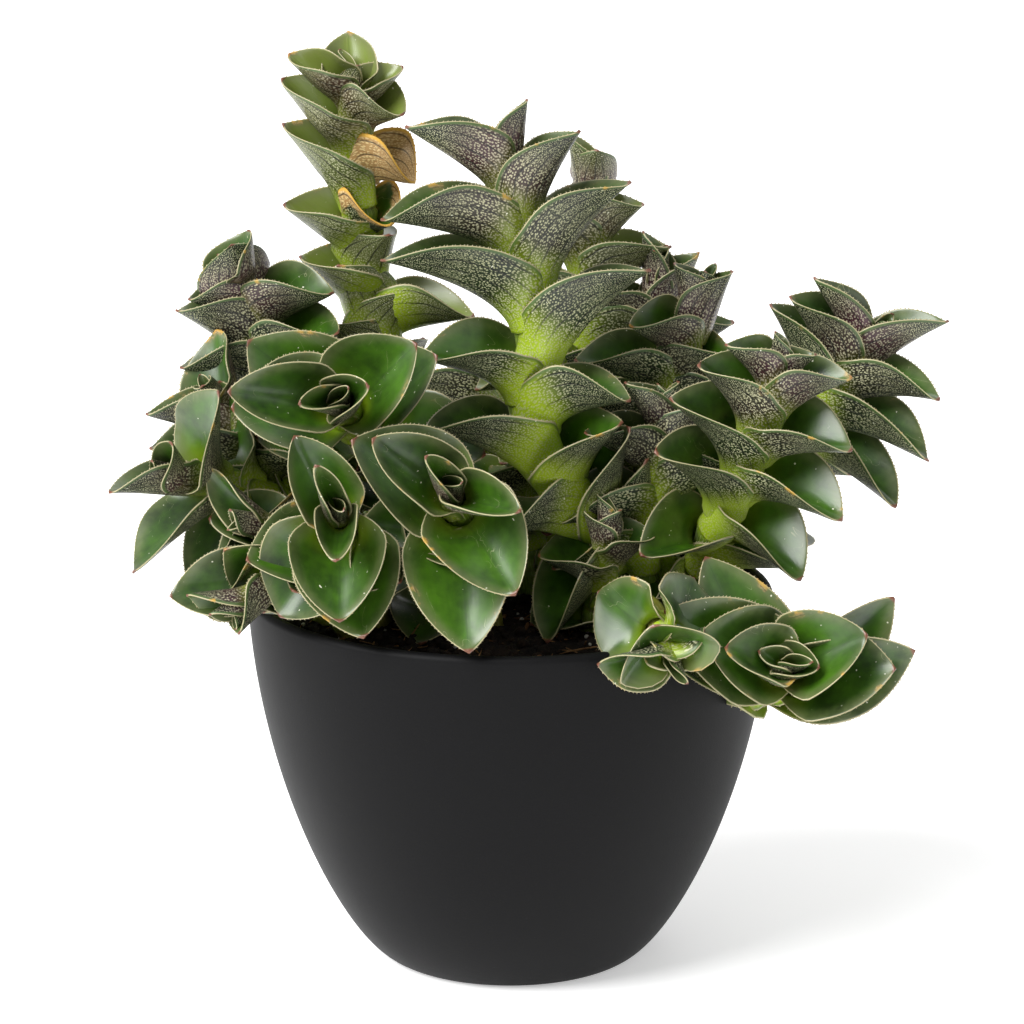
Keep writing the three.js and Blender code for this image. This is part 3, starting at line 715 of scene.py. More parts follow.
    def shell(self) -> Shell:
        """The closed shell: rings round the lens-shaped section, with the ends sewn shut.

        Returns:
            The shell, with its width and length laid flat as map, and facts on each point.
        """
        even = np.linspace(0, 1, self.rows)
        u = 0.5 * (even + ease(even))
        u[-1] = self.last_ring
        turn = circle(self.around)
        spread = np.tile(-np.cos(turn), (self.rows, 1))
        thinned = mix(1.0, self.tip_thickness, ease((u - self.thins_from) / (1 - self.thins_from)))
        side = np.sign(np.sin(turn)) * np.abs(np.sin(turn)) ** self.roundness
        points = self.surface(u, spread, thinned[:, None] * self.thickness / 2 * side)
        near = np.arange(1, self.around // 2 - 1)
        far = self.around - near
        strip = np.stack([near, near + 1, far - 1, far], axis=1)
        middle, end = self.around // 2, (self.rows - 1) * self.around
        corners = np.array([[0, 1, self.around - 1], [middle, middle + 1, middle - 1]])
        quads = np.vstack([ring_quads(self.rows, self.around), strip[:, ::-1], strip + end])
        triangles = np.vstack([corners[:, ::-1], corners + end])
        half = self.half(u)[:, None]
        along = np.broadcast_to(u[:, None], spread.shape)
        outer = np.broadcast_to(0.5 - 0.5 * np.clip(side * self.facing, -1, 1), spread.shape)
        faces = points.reshape(-1, 3), quads, triangles
        return self.described(*faces, spread * half, along, (1 - np.abs(spread)) * half, outer)

    def described(
        self, points: Array, quads: Array, triangles: Array,
        flatwise: Array, along: Array, rim: Array, outer: Array,
    ) -> Shell:
        """A shell with the leaf's facts: kind holds outer face, way along, youth and a random share,
        and edge holds distance to the margin, place across as a share of the blade's width there,
        dryness, which is below 0 where the leaf is olive instead, and the flush.

        Args:
            points: Places.
            quads: Faces of four corners.
            triangles: Faces of three corners.
            flatwise: Signed distance from the midrib laid flat.
            along: Share of the way along.
            rim: Distance from the margin.
            outer: 1 on the outer face and 0 on the inner.

        Returns:
            The shell.
        """
        quads, triangles = turned_right_out(points, quads, triangles)
        whole = np.ones(len(points))
        chance = (self.seed * GOLDEN) % 1.0
        flatwise, along, rim = flatwise.ravel(), along.ravel(), rim.ravel()
        flat = np.stack([flatwise / MAP_MM + 0.5, along * self.length / MAP_MM], axis=1)
        kind = np.stack([outer.ravel(), along, whole * self.youth, whole * chance], axis=1)
        across = 0.5 + 0.5 * flatwise / np.maximum(np.abs(flatwise) + rim, 1e-6)
        tint = self.dry if self.dry > 0 else -self.yellow
        edge = np.stack([rim / RIM_MM, across, whole * tint, whole * self.flush], axis=1)
        return Shell(points, quads, triangles, flat, kind, edge)

    def teeth(self) -> Shell:
        """Tiny three-sided teeth along both margins, each with its base sunk in the edge.

        Returns:
            One shell with all of them.
        """
        count = max(6, int(self.length / self.tooth_gap))
        rng = np.random.default_rng(self.seed)
        u = np.linspace(*self.tooth_span, count) + rng.uniform(-0.3, 0.3, count) * 0.9 / count
        ends = np.tile([-1.0, -0.97, 0.97, 1.0], (count, 1))
        rows = self.surface(u, ends, np.zeros_like(ends))
        _, tangent, _, above = self.rib(u)
        long, thick = tangent * self.tooth_long, above * self.tooth_thick
        first = 4 * np.arange(count)[:, None, None]
        triangles = (first + np.array([[0, 2, 1], [0, 1, 3], [1, 2, 3], [2, 0, 3]])).reshape(-1, 3)
        quads = np.empty((0, 4), int)
        zero = np.zeros(4 * count)
        shells = []
        for edge, inner, sign in ((0, 1, -1.0), (3, 2, 1.0)):
            base = rows[:, edge]
            out = unit(base - rows[:, inner])
            high = rng.uniform(*self.tooth_height, (count, 1))
            foot = base - out * self.tooth_sunk
            top = base + out * high + tangent * self.tooth_lean
            points = np.stack([foot + long, foot - long + thick, foot - long - thick, top], axis=1)
            flatwise = np.repeat(sign * self.half(u), 4)
            faces = points.reshape(-1, 3), quads, triangles
            shells.append(self.described(*faces, flatwise, np.repeat(u, 4), zero, zero + 0.5))
        return joined(shells)


# How much of its radius a stem loses on the way to its growing tip, and over how many millimetres.
NARROWED = 0.55
NARROWS_OVER = 14.0


def bare_radius(radius: float, down: Array | float) -> Array | float:
    """A stem's radius under its sheaths, which a soft step narrows near its growing tip."""
    return radius * (1 - NARROWED * ease(1 - down / NARROWS_OVER))


@dataclass
class StemForm:
    """A stem as a tube along its line, swelling into a sheath below each leaf and narrowing to its
    growing tip. Both ends are closed by a small ring."""

    line: StemLine
    radius: float
    nodes: Array
    spacing: float
    seed: int

    # Points in a ring, millimetres between rings and from the last one to the growing tip, the
    # sheath's swelling as a share of the radius, and the length of the round end.
    around: int = 16
    ring_gap: float = 0.8
    tip_gap: float = 0.2
    swelling: float = 0.16
    dome: float = 3.0

    def shell(self) -> Shell:
        """The tube: rings square to the line, each a circle about a steady side direction.

        Returns:
            The shell, with way down each sheath in its facts.
        """
        rows = int(self.line.length / self.ring_gap)
        down = np.linspace(self.line.length, self.tip_gap, rows)
        centre, axis = self.line.at(down)
        steady = np.linalg.svd(centre - centre.mean(0))[2][-1]
        side = unit(np.cross(axis, steady))
        other = np.cross(axis, side)
        upper = np.searchsorted(self.nodes, down, side="right") - 1
        below = np.clip((down - self.nodes[np.clip(upper, 0, None)]) / self.spacing, 0, 1)
        sheath = 1 + self.swelling * (1 - below) ** 2
        dome = np.sqrt(np.clip(down / self.dome, 0, 1))
        radius = bare_radius(self.radius, down) * sheath * dome
        radius[0] = radius[-1] = PINHOLE
        turn = circle(self.around)
        ring = np.cos(turn)[None, :, None] * side[:, None] + np.sin(turn)[None, :, None] * other[:, None]
        points = (centre[:, None] + ring * radius[:, None, None]).reshape(-1, 3)
        quads, triangles = closed_tube(points, self.around)
        shape = (rows, self.around)
        about = np.broadcast_to(turn * self.radius, shape).ravel()
        length = np.broadcast_to(down[:, None], shape).ravel()
        share = np.broadcast_to(below[:, None], shape).ravel()
        whole = np.ones(rows * self.around)
        chance = (self.seed * GOLDEN) % 1.0
        flat = np.stack([about / MAP_MM, length / MAP_MM], axis=1)
        kind = np.stack([whole, share, whole * 0, whole * chance], axis=1)
        edge = np.stack([whole, whole * 0.5, whole * 0, whole * 0], axis=1)
        return Shell(points, quads, triangles, flat, kind, edge)


# Materials


def linear(code: str) -> tuple[float, float, float, float]:
    """A hex colour as the linear colour that a shader takes."""
    parts = [int(code[k : k + 2], 16) / 255 for k in (1, 3, 5)]
    return (*[p / 12.92 if p <= 0.04045 else ((p + 0.055) / 1.055) ** 2.4 for p in parts], 1.0)


class Nodes:
    """Shorthand for adding shader nodes to one tree."""

    def __init__(self, tree: bpy.types.NodeTree) -> None:
        """Keeps the tree that nodes are added to."""
        self.tree = tree

    def add(self, kind: str, **settings: object) -> bpy.types.Node:
        """Adds a node.

        Args:
            kind: Its type.
            settings: Its settings by name.

        Returns:
            The node.
        """
        node = self.tree.nodes.new(kind)
        for name, value in settings.items():
            setattr(node, name, value)
        return node

    def put(self, socket: Socket, value: object) -> None:
        """Links a socket to a node's output, or sets its own value.

        Args:
            socket: The socket.
            value: An output, a value, a colour's hex code, or None to leave it alone.
        """
        if isinstance(value, bpy.types.NodeSocket):
            self.tree.links.new(value, socket)
        elif value is not None:
            socket.default_value = linear(value) if isinstance(value, str) else value

    def fill(self, node: bpy.types.Node, values: dict[int | str, object]) -> bpy.types.Node:
        """Puts values into a node's inputs.

        Args:
            node: The node.
            values: What goes into each input, by its number or name.

        Returns:
            The same node.
        """
        for key, value in values.items():
            self.put(node.inputs[key], value)
        return node

    def maths(self, kind: str, a: object, b: object = None, c: object = None, clamp: bool = False) -> Socket:
        """The result of a Math node on up to three values."""
        node = self.add("ShaderNodeMath", operation=kind, use_clamp=clamp)
        return self.fill(node, {0: a, 1: b, 2: c}).outputs[0]

    def times(self, a: object, b: object, clamp: bool = False) -> Socket:
        """The product of a and b."""
        return self.maths("MULTIPLY", a, b, clamp=clamp)

    def line(self, value: object, slope: object, start: object, clamp: bool = False) -> Socket:
        """A value times a slope, plus a start."""
        return self.maths("MULTIPLY_ADD", value, slope, start, clamp)

    def off_half(self, value: object) -> Socket:
        """How far a value is from a half."""
        return self.maths("ABSOLUTE", self.maths("SUBTRACT", value, 0.5))

    def step(self, value: object, low: float, high: float) -> Socket:
        """A soft step from 0 at low to 1 at high, also where low is the greater of the two.

        Args:
            value: What steps.
            low: Where it gives 0.
            high: Where it gives 1.

        Returns:
            The step's value.
        """
        node = self.add("ShaderNodeMapRange", interpolation_type="SMOOTHSTEP", clamp=True)
        a, b, at_a, at_b = (low, high, 0.0, 1.0) if low <= high else (high, low, 1.0, 0.0)
        return self.fill(node, {0: value, 1: a, 2: b, 3: at_a, 4: at_b}).outputs[0]

    def blend(self, share: object, a: object, b: object, kind: str = "MIX") -> Socket:
        """Colour a mixed with colour b by a share."""
        node = self.add("ShaderNodeMix", data_type="RGBA", blend_type=kind)
        return self.fill(node, {0: share, 6: a, 7: b}).outputs[2]

    def between(self, share: object, a: object, b: object) -> Socket:
        """Number a mixed with number b by a share."""
        return self.fill(self.add("ShaderNodeMix", data_type="FLOAT"), {0: share, 2: a, 3: b}).outputs[0]

    def noise(
        self, vector: Socket, scale: object, detail: float = 2, rough: float = 0.5, bend: float = 0
    ) -> Socket:
        """A noise value at a vector."""
        values = {"Vector": vector, "Scale": scale, "Detail": detail, "Roughness": rough, "Distortion": bend}
        return self.fill(self.add("ShaderNodeTexNoise"), values).outputs[0]

    def stretch(self, vector: Socket, by: Triple) -> Socket:
        """A vector scaled along each axis."""
        return self.fill(self.add("ShaderNodeVectorMath", operation="MULTIPLY"), {0: vector, 1: by}).outputs[0]

    def group(self, made: bpy.types.NodeTree, **values: object) -> Socket:
        """The Mask of a shared effect, placed in this tree with its own values."""
        named = {name.replace("_", " "): value for name, value in values.items()}
        return self.fill(self.add("ShaderNodeGroup", node_tree=made), named).outputs[0]


def new_group(name: str, **numbers: float) -> tuple[Nodes, list[Socket], Socket]:
    """Starts a shader node group that makes a Mask of 0 to 1 from a Vector and numbers.

    Args:
        name: The group's name.
        numbers: First value of each number that it takes, by the input's name.

    Returns:
        Shorthand for its nodes, its inputs in order, and the socket that takes the Mask.
    """
    tree = bpy.data.node_groups.new(name, "ShaderNodeTree")
    tree.interface.new_socket("Vector", in_out="INPUT", socket_type="NodeSocketVector")
    for label, value in numbers.items():
        made = tree.interface.new_socket(label.replace("_", " "), in_out="INPUT", socket_type="NodeSocketFloat")
        made.default_value = value
    tree.interface.new_socket("Mask", in_out="OUTPUT", socket_type="NodeSocketFloat")
    n = Nodes(tree)
    given, out = n.add("NodeGroupInput"), n.add("NodeGroupOutput")
    return n, list(given.outputs), out.inputs[0]


def mottle_group() -> bpy.types.NodeTree:
    """Cloudy change over a surface: two sizes of noise added and stretched to a contrast.

    Returns:
        The group.
    """
    n, (vector, scale, contrast, *_), mask = new_group("mottle", Scale=1.0, Contrast=1.0)
    broad, fine = (n.noise(vector, n.times(scale, finer), 3) for finer in (1.0, 4.3))
    both = n.maths("ADD", n.times(broad, 0.7), n.times(fine, 0.3))
    away = n.times(n.maths("SUBTRACT", both, 0.5), n.times(contrast, 3.0))
    n.put(mask, n.maths("ADD", away, 0.5, clamp=True))
    return n.tree


def speckle_group() -> bpy.types.NodeTree:
    """Small pale dots that partly run together: the places near the scattered centres of cells,
    after a fine noise has bent the map.

    Returns:
        The group.
    """
    n, (vector, scale, cover, *_), mask = new_group("speckle", Scale=1.0, Cover=0.5)
    bend = n.fill(n.add("ShaderNodeTexNoise"), {"Vector": vector, "Scale": n.times(scale, 0.9), "Detail": 1.0})
    bent = n.add("ShaderNodeVectorMath", operation="MULTIPLY_ADD")
    n.fill(bent, {0: bend.outputs["Color"], 1: (0.35, 0.35, 0.0), 2: vector})
    x, y, z = n.fill(n.add("ShaderNodeSeparateXYZ"), {0: bent.outputs[0]}).outputs
    # Depth moves the dots aside, so that each leaf has its own.
    place = n.fill(n.add("ShaderNodeCombineXYZ"), {0: n.maths("ADD", x, z), 1: n.line(z, 0.73, y)})
    cells = n.add("ShaderNodeTexVoronoi", voronoi_dimensions="2D", feature="F1")
    n.fill(cells, {"Vector": place.outputs[0], "Scale": scale, "Randomness": 0.9})
    within = n.maths("SUBTRACT", n.times(cover, 0.72), cells.outputs["Distance"])
    n.put(mask, n.line(within, 6.5, 0.5, clamp=True))
    return n.tree


def streak_group() -> bpy.types.NodeTree:
    """Fine lines that run along the surface's length: noise that is squeezed across it.

    Returns:
        The group.
    """
    n, (vector, per_mm, length, *_), mask = new_group("streak", Per_mm=2.0, Length=12.0)
    x, y, z = n.fill(n.add("ShaderNodeSeparateXYZ"), {0: vector}).outputs
    squeezed = n.add("ShaderNodeCombineXYZ")
    n.fill(squeezed, {0: n.times(x, per_mm), 1: n.maths("DIVIDE", y, length), 2: z})
    n.put(mask, n.noise(squeezed.outputs[0], 1.0, 3, 0.6))
    return n.tree


@dataclass(frozen=True)
class Shine:
    """The constants of a Principled BSDF."""

    specular: float = 0.5
    coat: float = 0.0
    coat_roughness: float = 0.3


@dataclass(frozen=True)
class Facts:
    """What a leaf's or stem's material reads at each point: the place laid flat in millimetres, with
    the random share as its depth; 1 outside and 0 inside; the share of the way along; youth; the
    random share; millimetres to the margin; the share of the way across; how dry it is, or how
    olive when below 0; and the flush."""

    place: Socket
    outer: Socket
    along: Socket
    youth: Socket
    chance: Socket
    rim: Socket
    across: Socket
    tint: Socket
    flush: Socket


class Finish:
    """A material with its Principled BSDF and shorthand for its nodes."""

    # How far apart in depth the places of two leaves can be, so that no two show the same pattern.
    depth_span = 97.0

    def __init__(self, name: str, shine: Shine) -> None:
        """Makes the material and sets its constants on the shader's own sockets.

        Args:
            name: The material's name.
            shine: Its constants.
        """
        self.material = bpy.data.materials.new(name)
        self.material.use_nodes = True
        tree = self.material.node_tree
        tree.nodes.clear()
        self.n = Nodes(tree)
        self.shader = self.n.add("ShaderNodeBsdfPrincipled")
        out = self.n.add("ShaderNodeOutputMaterial")
        tree.links.new(self.shader.outputs[0], out.inputs[0])
        self.shader.inputs["Specular IOR Level"].default_value = shine.specular
        self.shader.inputs["Coat Weight"].default_value = shine.coat
        self.shader.inputs["Coat Roughness"].default_value = shine.coat_roughness

    def solid_place(self) -> Socket:
        """The place of a point in the piece, in metres."""
        return self.n.add("ShaderNodeTexCoord").outputs["Object"]

    def facts(self) -> Facts:
        """Reads a leaf's or stem's map and facts.

        Returns:
            Their sockets.
        """
        n = self.n
        flat = n.add("ShaderNodeUVMap", uv_map="flat").outputs[0]
        kind = n.add("ShaderNodeAttribute", attribute_name="kind").outputs
        edge = n.add("ShaderNodeAttribute", attribute_name="edge").outputs
        outer, along, youth = n.fill(n.add("ShaderNodeSeparateColor"), {0: kind["Color"]}).outputs
        rim, across, tint = n.fill(n.add("ShaderNodeSeparateColor"), {0: edge["Color"]}).outputs
        chance = kind["Alpha"]
        depth = n.fill(n.add("ShaderNodeCombineXYZ"), {2: n.times(chance, self.depth_span)}).outputs[0]
        place = n.add("ShaderNodeVectorMath", operation="MULTIPLY_ADD")
        n.fill(place, {0: flat, 1: (MAP_MM, MAP_MM, 0.0), 2: depth})
        return Facts(
            place.outputs[0], outer, along, youth, chance, n.times(rim, RIM_MM), across, tint, edge["Alpha"]
        )

    def finish(self, colour: object, roughness: object, height: object, depth: float) -> bpy.types.Material:
        """Links the shader's colour, roughness and bump.

        Args:
            colour: Base colour.
            roughness: Roughness.
            height: Height of the relief, 0 to 1.
            depth: How high the relief is, in millimetres.

        Returns:
            The material.
        """
        self.n.put(self.shader.inputs["Base Color"], colour)
        self.n.put(self.shader.inputs["Roughness"], roughness)
        bump = self.n.add("ShaderNodeBump")
        bump.inputs["Distance"].default_value = depth * MM
        self.n.put(bump.inputs["Height"], height)
        self.n.put(self.shader.inputs["Normal"], bump.outputs[0])
        return self.material


@dataclass(frozen=True)
class LeafFinish:
    """Colours of a leaf: smooth green inside; dark and silver-flecked outside; lime at the base; a
    cream margin and a brown point. Distances to the margin are in millimetres, and the other ends
    of soft steps are shares."""

    deep: str = "#3f6614"
    dusk: str = "#1a300d"
    lime: str = "#a2bb1e"
    olive: str = "#8f9a4a"
    grey: str = "#6a6a4e"
    ground: str = "#151b0c"
    silver: str = "#bfc096"
    blush: str = "#ad9a90"
    band: str = "#45602a"
    plum: str = "#4a2230"
    vein: str = "#0a0d07"
    cream: str = "#a8a07a"
    point: str = "#6f4430"
    straw: str = "#d8bd85"
    char: str = "#97713f"
    gold: str = "#c79a3a"
    dot: str = "#dcdcc6"
    relief: float = 0.12

    def inner_face(self, n: Nodes, skin: Facts, yellow: Socket, clouds: Socket, lines: Socket) -> Socket:
        """The inner face: green clouds, lime at the base, olive on the shoots that are so, grey
        towards the margin, a faint midrib and a few fine pale scratches.

        Args:
            n: The material's nodes.
            skin: The leaf's facts.
            yellow: How olive the leaf is.
            clouds: The cloudy mask.
            lines: The mask of fine lines.

        Returns:
            Its colour.
        """
        face = n.blend(n.line(skin.chance, 0.35, n.times(clouds, 0.8)), self.dusk, self.deep)
        face = n.blend(n.times(yellow, n.step(skin.along, 0.0, 0.3)), face, self.olive)
        face = n.blend(n.times(n.step(skin.along, 0.4, 0.0), 0.7), face, self.lime)
        face = n.blend(n.times(n.step(skin.rim, 5.0, 0.4), n.line(clouds, 0.55, 0.2)), face, self.grey)
        face = n.blend(n.times(n.step(lines, 0.45, 0.75), 0.3), face, self.lime, "SOFT_LIGHT")
        midrib = n.step(n.off_half(skin.across), 0.02, 0.005)
        face = n.blend(n.times(midrib, 0.25), face, self.dusk)
        wander = n.noise(n.stretch(skin.place, (0.22, 0.12, 1.0)), 1.0, 2, 0.5, 0.4)
        hair = n.step(n.off_half(wander), 0.0035, 0.0)
        patch = n.step(n.noise(skin.place, 0.13, 1), 0.56, 0.64)
        return n.blend(n.times(n.times(hair, patch), 0.5), face, self.silver)

    def dots(self, n: Nodes, skin: Facts, clouds: Socket, speckle: bpy.types.NodeTree) -> Socket:
        """The silver dots of the outer face, which are finer towards the tip.

        Args:
            n: The material's nodes.
            skin: The leaf's facts.
            clouds: The cloudy mask.
            speckle: The fleck group.

        Returns:
            Their mask.
        """
        cover = n.line(clouds, 0.12, n.between(n.step(skin.along, 0.25, 0.9), 0.4, 0.32))
        coarse = n.group(speckle, Vector=n.stretch(skin.place, (1.0, 0.72, 1.0)), Scale=1.85, Cover=cover)
        fine = n.group(speckle, Vector=skin.place, Scale=2.5, Cover=cover)
        return n.between(n.step(skin.along, 0.45, 0.8), coarse, fine)

    def outer_face(
        self, n: Nodes, skin: Facts, yellow: Socket, clouds: Socket, flecks: Socket
    ) -> tuple[Socket, Socket, Socket]:
        """The outer face: near black under silver dots, which are missing in a green band at the
        margin; purple on young leaves and lime at the base; long dark veins.

        Args:
            n: The material's nodes.
            skin: The leaf's facts.
            yellow: How olive the leaf is.
            clouds: The cloudy mask.
            flecks: The dots' mask.

        Returns:
            Its colour, and the masks of the dots that show and of the veins.
        """
        inside_band = n.step(skin.rim, 0.4, 1.3)
        old = n.times(skin.youth, -1.0, clamp=True)
        low = n.step(n.line(old, -0.3, skin.along), 0.42, 0.06)
        young_flush = n.times(n.times(skin.flush, skin.youth), 1.7, clamp=True)
        purple = n.times(young_flush, n.step(skin.along, 1.0, 0.3))
        face = n.blend(clouds, self.ground, self.dusk)
        face = n.blend(n.times(yellow, 0.5), face, self.olive)
        face = n.blend(n.times(purple, 0.85), face, self.plum)
        face = n.blend(n.times(low, n.line(purple, -0.8, 1.0)), face, self.lime)
        pale = n.blend(n.times(purple, 0.7), self.silver, self.blush)
        strength = n.times(n.between(low, 1.0, 0.55), n.between(clouds, 0.55, 1.0))
        shown = n.times(flecks, n.times(inside_band, strength))
        face = n.blend(shown, face, pale)
        face = n.blend(n.times(n.step(skin.rim, 1.3, 0.4), 0.75), face, self.band)
        # Nine lines across the blade, bent a little and broken here and there.
        bent = n.line(n.noise(skin.place, 0.16, 1), 0.05, n.maths("SUBTRACT", skin.across, 0.025))
        off_line = n.off_half(n.maths("FRACT", n.times(bent, 9.0)))
        broken = n.step(n.noise(n.stretch(skin.place, (0.5, 0.12, 1.0)), 1.0, 1), 0.28, 0.4)
        above_lime = n.line(low, -0.9, 1.0, clamp=True)
        veins = n.times(n.times(n.step(off_line, 0.085, 0.04), broken), n.times(inside_band, above_lime))
        return n.blend(n.times(veins, 0.8), face, self.vein), shown, veins

    def build(
        self, mottle: bpy.types.NodeTree, speckle: bpy.types.NodeTree, streak: bpy.types.NodeTree
    ) -> bpy.types.Material:
        """Builds the leaf's material.

        Args:
            mottle: The cloudy group.
            speckle: The fleck group.
            streak: The group of fine lines.

        Returns:
            The material.
        """
        f = Finish("leaf_skin", Shine(specular=0.45, coat=0.28, coat_roughness=0.24))
        n, skin = f.n, f.facts()
        dry = n.maths("MAXIMUM", skin.tint, 0.0)
        yellow = n.maths("MAXIMUM", n.times(skin.tint, -1.0), 0.0)
        clouds = n.group(mottle, Vector=skin.place, Scale=0.11, Contrast=1.1)
        lines = n.group(streak, Vector=skin.place, Per_mm=1.7, Length=7.0)
        flecks = self.dots(n, skin, clouds, speckle)
        inner = self.inner_face(n, skin, yellow, clouds, lines)
        outer, shown, veins = self.outer_face(n, skin, yellow, clouds, flecks)
        # Both faces: cream margin, brown point, stray white dots, and dried parts from the edge in.
        body = n.blend(skin.outer, inner, outer)
        body = n.blend(n.step(n.times(skin.rim, n.line(skin.youth, 0.4, 1.2)), 0.38, 0.15), body, self.cream)
        body = n.blend(n.step(skin.along, 0.965, 0.985), body, self.point)
        body = n.blend(n.step(n.noise(skin.place, 1.3, 0), 0.84, 0.88), body, self.dot)
        net = n.line(flecks, 0.65, n.times(n.step(lines, 0.25, 0.75), 0.35))
        brown = n.blend(net, self.char, self.straw)
        brown = n.blend(n.step(skin.rim, 1.1, 0.5), brown, self.gold)
        brown = n.blend(n.times(veins, 0.7), brown, self.vein)
        edge_first = n.line(n.step(skin.rim, 7.0, 0.0), 0.55, clouds)
        dried = n.step(n.line(dry, 1.6, edge_first), 1.35, 1.65)
        body = n.blend(dried, body, brown)
        fresh = n.between(skin.outer, 0.32, 0.46)
        rough = n.between(dried, n.between(flecks, fresh, n.line(skin.outer, 0.08, fresh)), 0.75)
        raised = n.times(skin.outer, n.maths("SUBTRACT", shown, n.times(veins, 0.8)))
        grain = n.times(lines, n.line(dried, 0.7, 0.15))
        return f.finish(body, rough, n.maths("ADD", raised, grain), self.relief)


@dataclass(frozen=True)
class StemFinish:
    """Colours of a stem in its leaf sheaths: lime with pale streaks, darker where it is older."""

    lime: str = "#93b02c"
    pale: str = "#d3dc9a"
    shade: str = "#55701c"
    rust: str = "#6a4a22"
    relief: float = 0.08

    def build(self, mottle: bpy.types.NodeTree, streak: bpy.types.NodeTree) -> bpy.types.Material:
        """Builds the stem's material.

        Args:
            mottle: The cloudy group.
            streak: The group of fine lines.

        Returns:
            The material.
        """
        f = Finish("stem_skin", Shine(specular=0.45, coat=0.08, coat_roughness=0.3))
        n, skin = f.n, f.facts()
        clouds = n.group(mottle, Vector=skin.place, Scale=0.16, Contrast=1.2)
        lines = n.group(streak, Vector=skin.place, Per_mm=2.4, Length=6.0)
        colour = n.blend(clouds, self.shade, self.lime)
        colour = n.blend(n.times(n.step(lines, 0.52, 0.66), 0.6), colour, self.pale)
        colour = n.blend(n.times(n.step(skin.along, 0.75, 1.0), 0.6), colour, self.rust)
        return f.finish(colour, n.between(clouds, 0.42, 0.55), lines, self.relief)


@dataclass(frozen=True)
class PotFinish:
    """A matte charcoal glaze with a very fine grain and faint cloudiness."""

    dark: str = "#0d0d0e"
    light: str = "#101011"
    grain: str = "#1d1d1e"
    relief: float = 0.035

    def build(self, mottle: bpy.types.NodeTree) -> bpy.types.Material:
        """Builds the pot's material.

        Args:
            mottle: The cloudy group.

        Returns:
            The material.
        """
        f = Finish("charcoal_glaze", Shine(specular=0.1))
        n, place = f.n, f.solid_place()
        clouds = n.group(mottle, Vector=place, Scale=28.0, Contrast=0.8)
        grain = n.noise(place, 2600.0, 2, 0.6)
        pits = n.step(n.noise(place, 900.0, 1), 0.72, 0.8)
        colour = n.blend(clouds, self.dark, self.light)
        colour = n.blend(n.times(n.step(grain, 0.55, 0.8), 0.25), colour, self.grain)
        rough = n.line(clouds, 0.06, n.line(grain, 0.08, 0.46))
        return f.finish(colour, rough, n.maths("SUBTRACT", grain, n.times(pits, 0.8)), self.relief)


@dataclass(frozen=True)
class CrumbFinish:
    """A crumbly stuff such as soil, bark or perlite, from two colours and a relief. Scale is how
    many clouds there are to a metre."""

    name: str
    dark: str
    light: str
    roughness: float
    relief: float
    scale: float

    def build(self, mottle: bpy.types.NodeTree) -> bpy.types.Material:
        """Builds the material.

        Args:
            mottle: The cloudy group.

        Returns:
            The material.
        """
        f = Finish(self.name, Shine(specular=0.25))
        n, place = f.n, f.solid_place()
        clouds = n.group(mottle, Vector=place, Scale=self.scale, Contrast=1.5)
        grain = n.noise(place, self.scale * 9, 3, 0.7)
        colour = n.blend(n.times(clouds, grain), self.dark, self.light)
        return f.finish(colour, self.roughness, n.maths("ADD", grain, clouds), self.relief)


# Assemblies


@dataclass
class Pot:
    """The pot: a turned wall with a rounded foot, a rolled lip and a flat base, in millimetres."""

    height: float = 91.4
    rim: float = 63.6
    base: float = 30.0
    foot: float = 8.0
    belly: float = 0.43
    flare: float = 2.5
    wall: float = 3.2
    floor: float = 5.0

    # Points of the profile round a circle, up the outside, over the lip, down the inside, and
    # across the base and the floor.
    sides: int = 160
    outside_steps: int = 56
    lip_steps: int = 14
    inside_steps: int = 20
    base_steps: int = 8
    floor_steps: int = 6

    def wall_line(self, inset: float, bottom: float, steps: int) -> Array:
        """Radius and height down the wall: a cubic from the base's edge to under the lip.

        Args:
            inset: How far the line is moved in.
            bottom: Its lowest height.
            steps: Number of points.

        Returns:
            Radius and height, one row each.
        """
        controls = np.array([
            [self.base - inset, bottom],
            [self.base + self.foot - inset, bottom],
            [self.rim - self.flare - inset, mix(bottom, self.height, self.belly)],
            [self.rim - inset, self.height - self.wall / 2],
        ])
        return cubic(np.linspace(0, 1, steps)[:, None], *controls)

    def profile(self) -> Array:
        """The closed run from the middle of the base, up the outside, over the lip and down inside.

        Returns:
            Radius and height, one row each.
        """
        lip = self.wall / 2
        turn = np.linspace(0, np.pi, self.lip_steps)[1:-1]
        over = np.stack([self.rim - lip + lip * np.cos(turn), self.height - lip + lip * np.sin(turn)], axis=1)
        base = np.linspace(PINHOLE, self.base, self.base_steps)[:-1]
        floor = np.linspace(self.base - self.wall, PINHOLE, self.floor_steps)[1:]
        under = np.stack([base, np.zeros_like(base)], axis=1)
        middle = np.stack([floor, np.full_like(floor, self.floor)], axis=1)
        inner = self.wall_line(self.wall, self.floor, self.inside_steps)[::-1]
        return np.vstack([under, self.wall_line(0, 0, self.outside_steps), over, inner, middle])

    def build(self, finish: bpy.types.Material) -> None:
        """Turns the profile about the vertical, closes it at the middle, and dresses it."""
        report(make_object("glazed_pot", turned(self.profile(), self.sides), finish), ("pot",))


def turned(profile: Array, sides: int) -> Shell:
    """A profile turned about the vertical: each point goes round a circle of its radius.

    Args:
        profile: Radius and height, one row each, from one end on the axis to the other.
        sides: Points in a circle.

    Returns:
        The closed shell.
    """
    turn = circle(sides)
    x = profile[:, :1] * np.cos(turn)
    y = profile[:, :1] * np.sin(turn)
    z = np.broadcast_to(profile[:, 1:], x.shape)
    points = np.stack([x, y, z], axis=-1).reshape(-1, 3)
    quads, triangles = closed_tube(points, sides)
    flat = np.stack([np.broadcast_to(turn / MAP_TURN, x.shape).ravel(), z.ravel() / MAP_MM], axis=1)
    plain = np.ones((len(points), 4))
    return Shell(points, quads, triangles, flat, plain, plain)


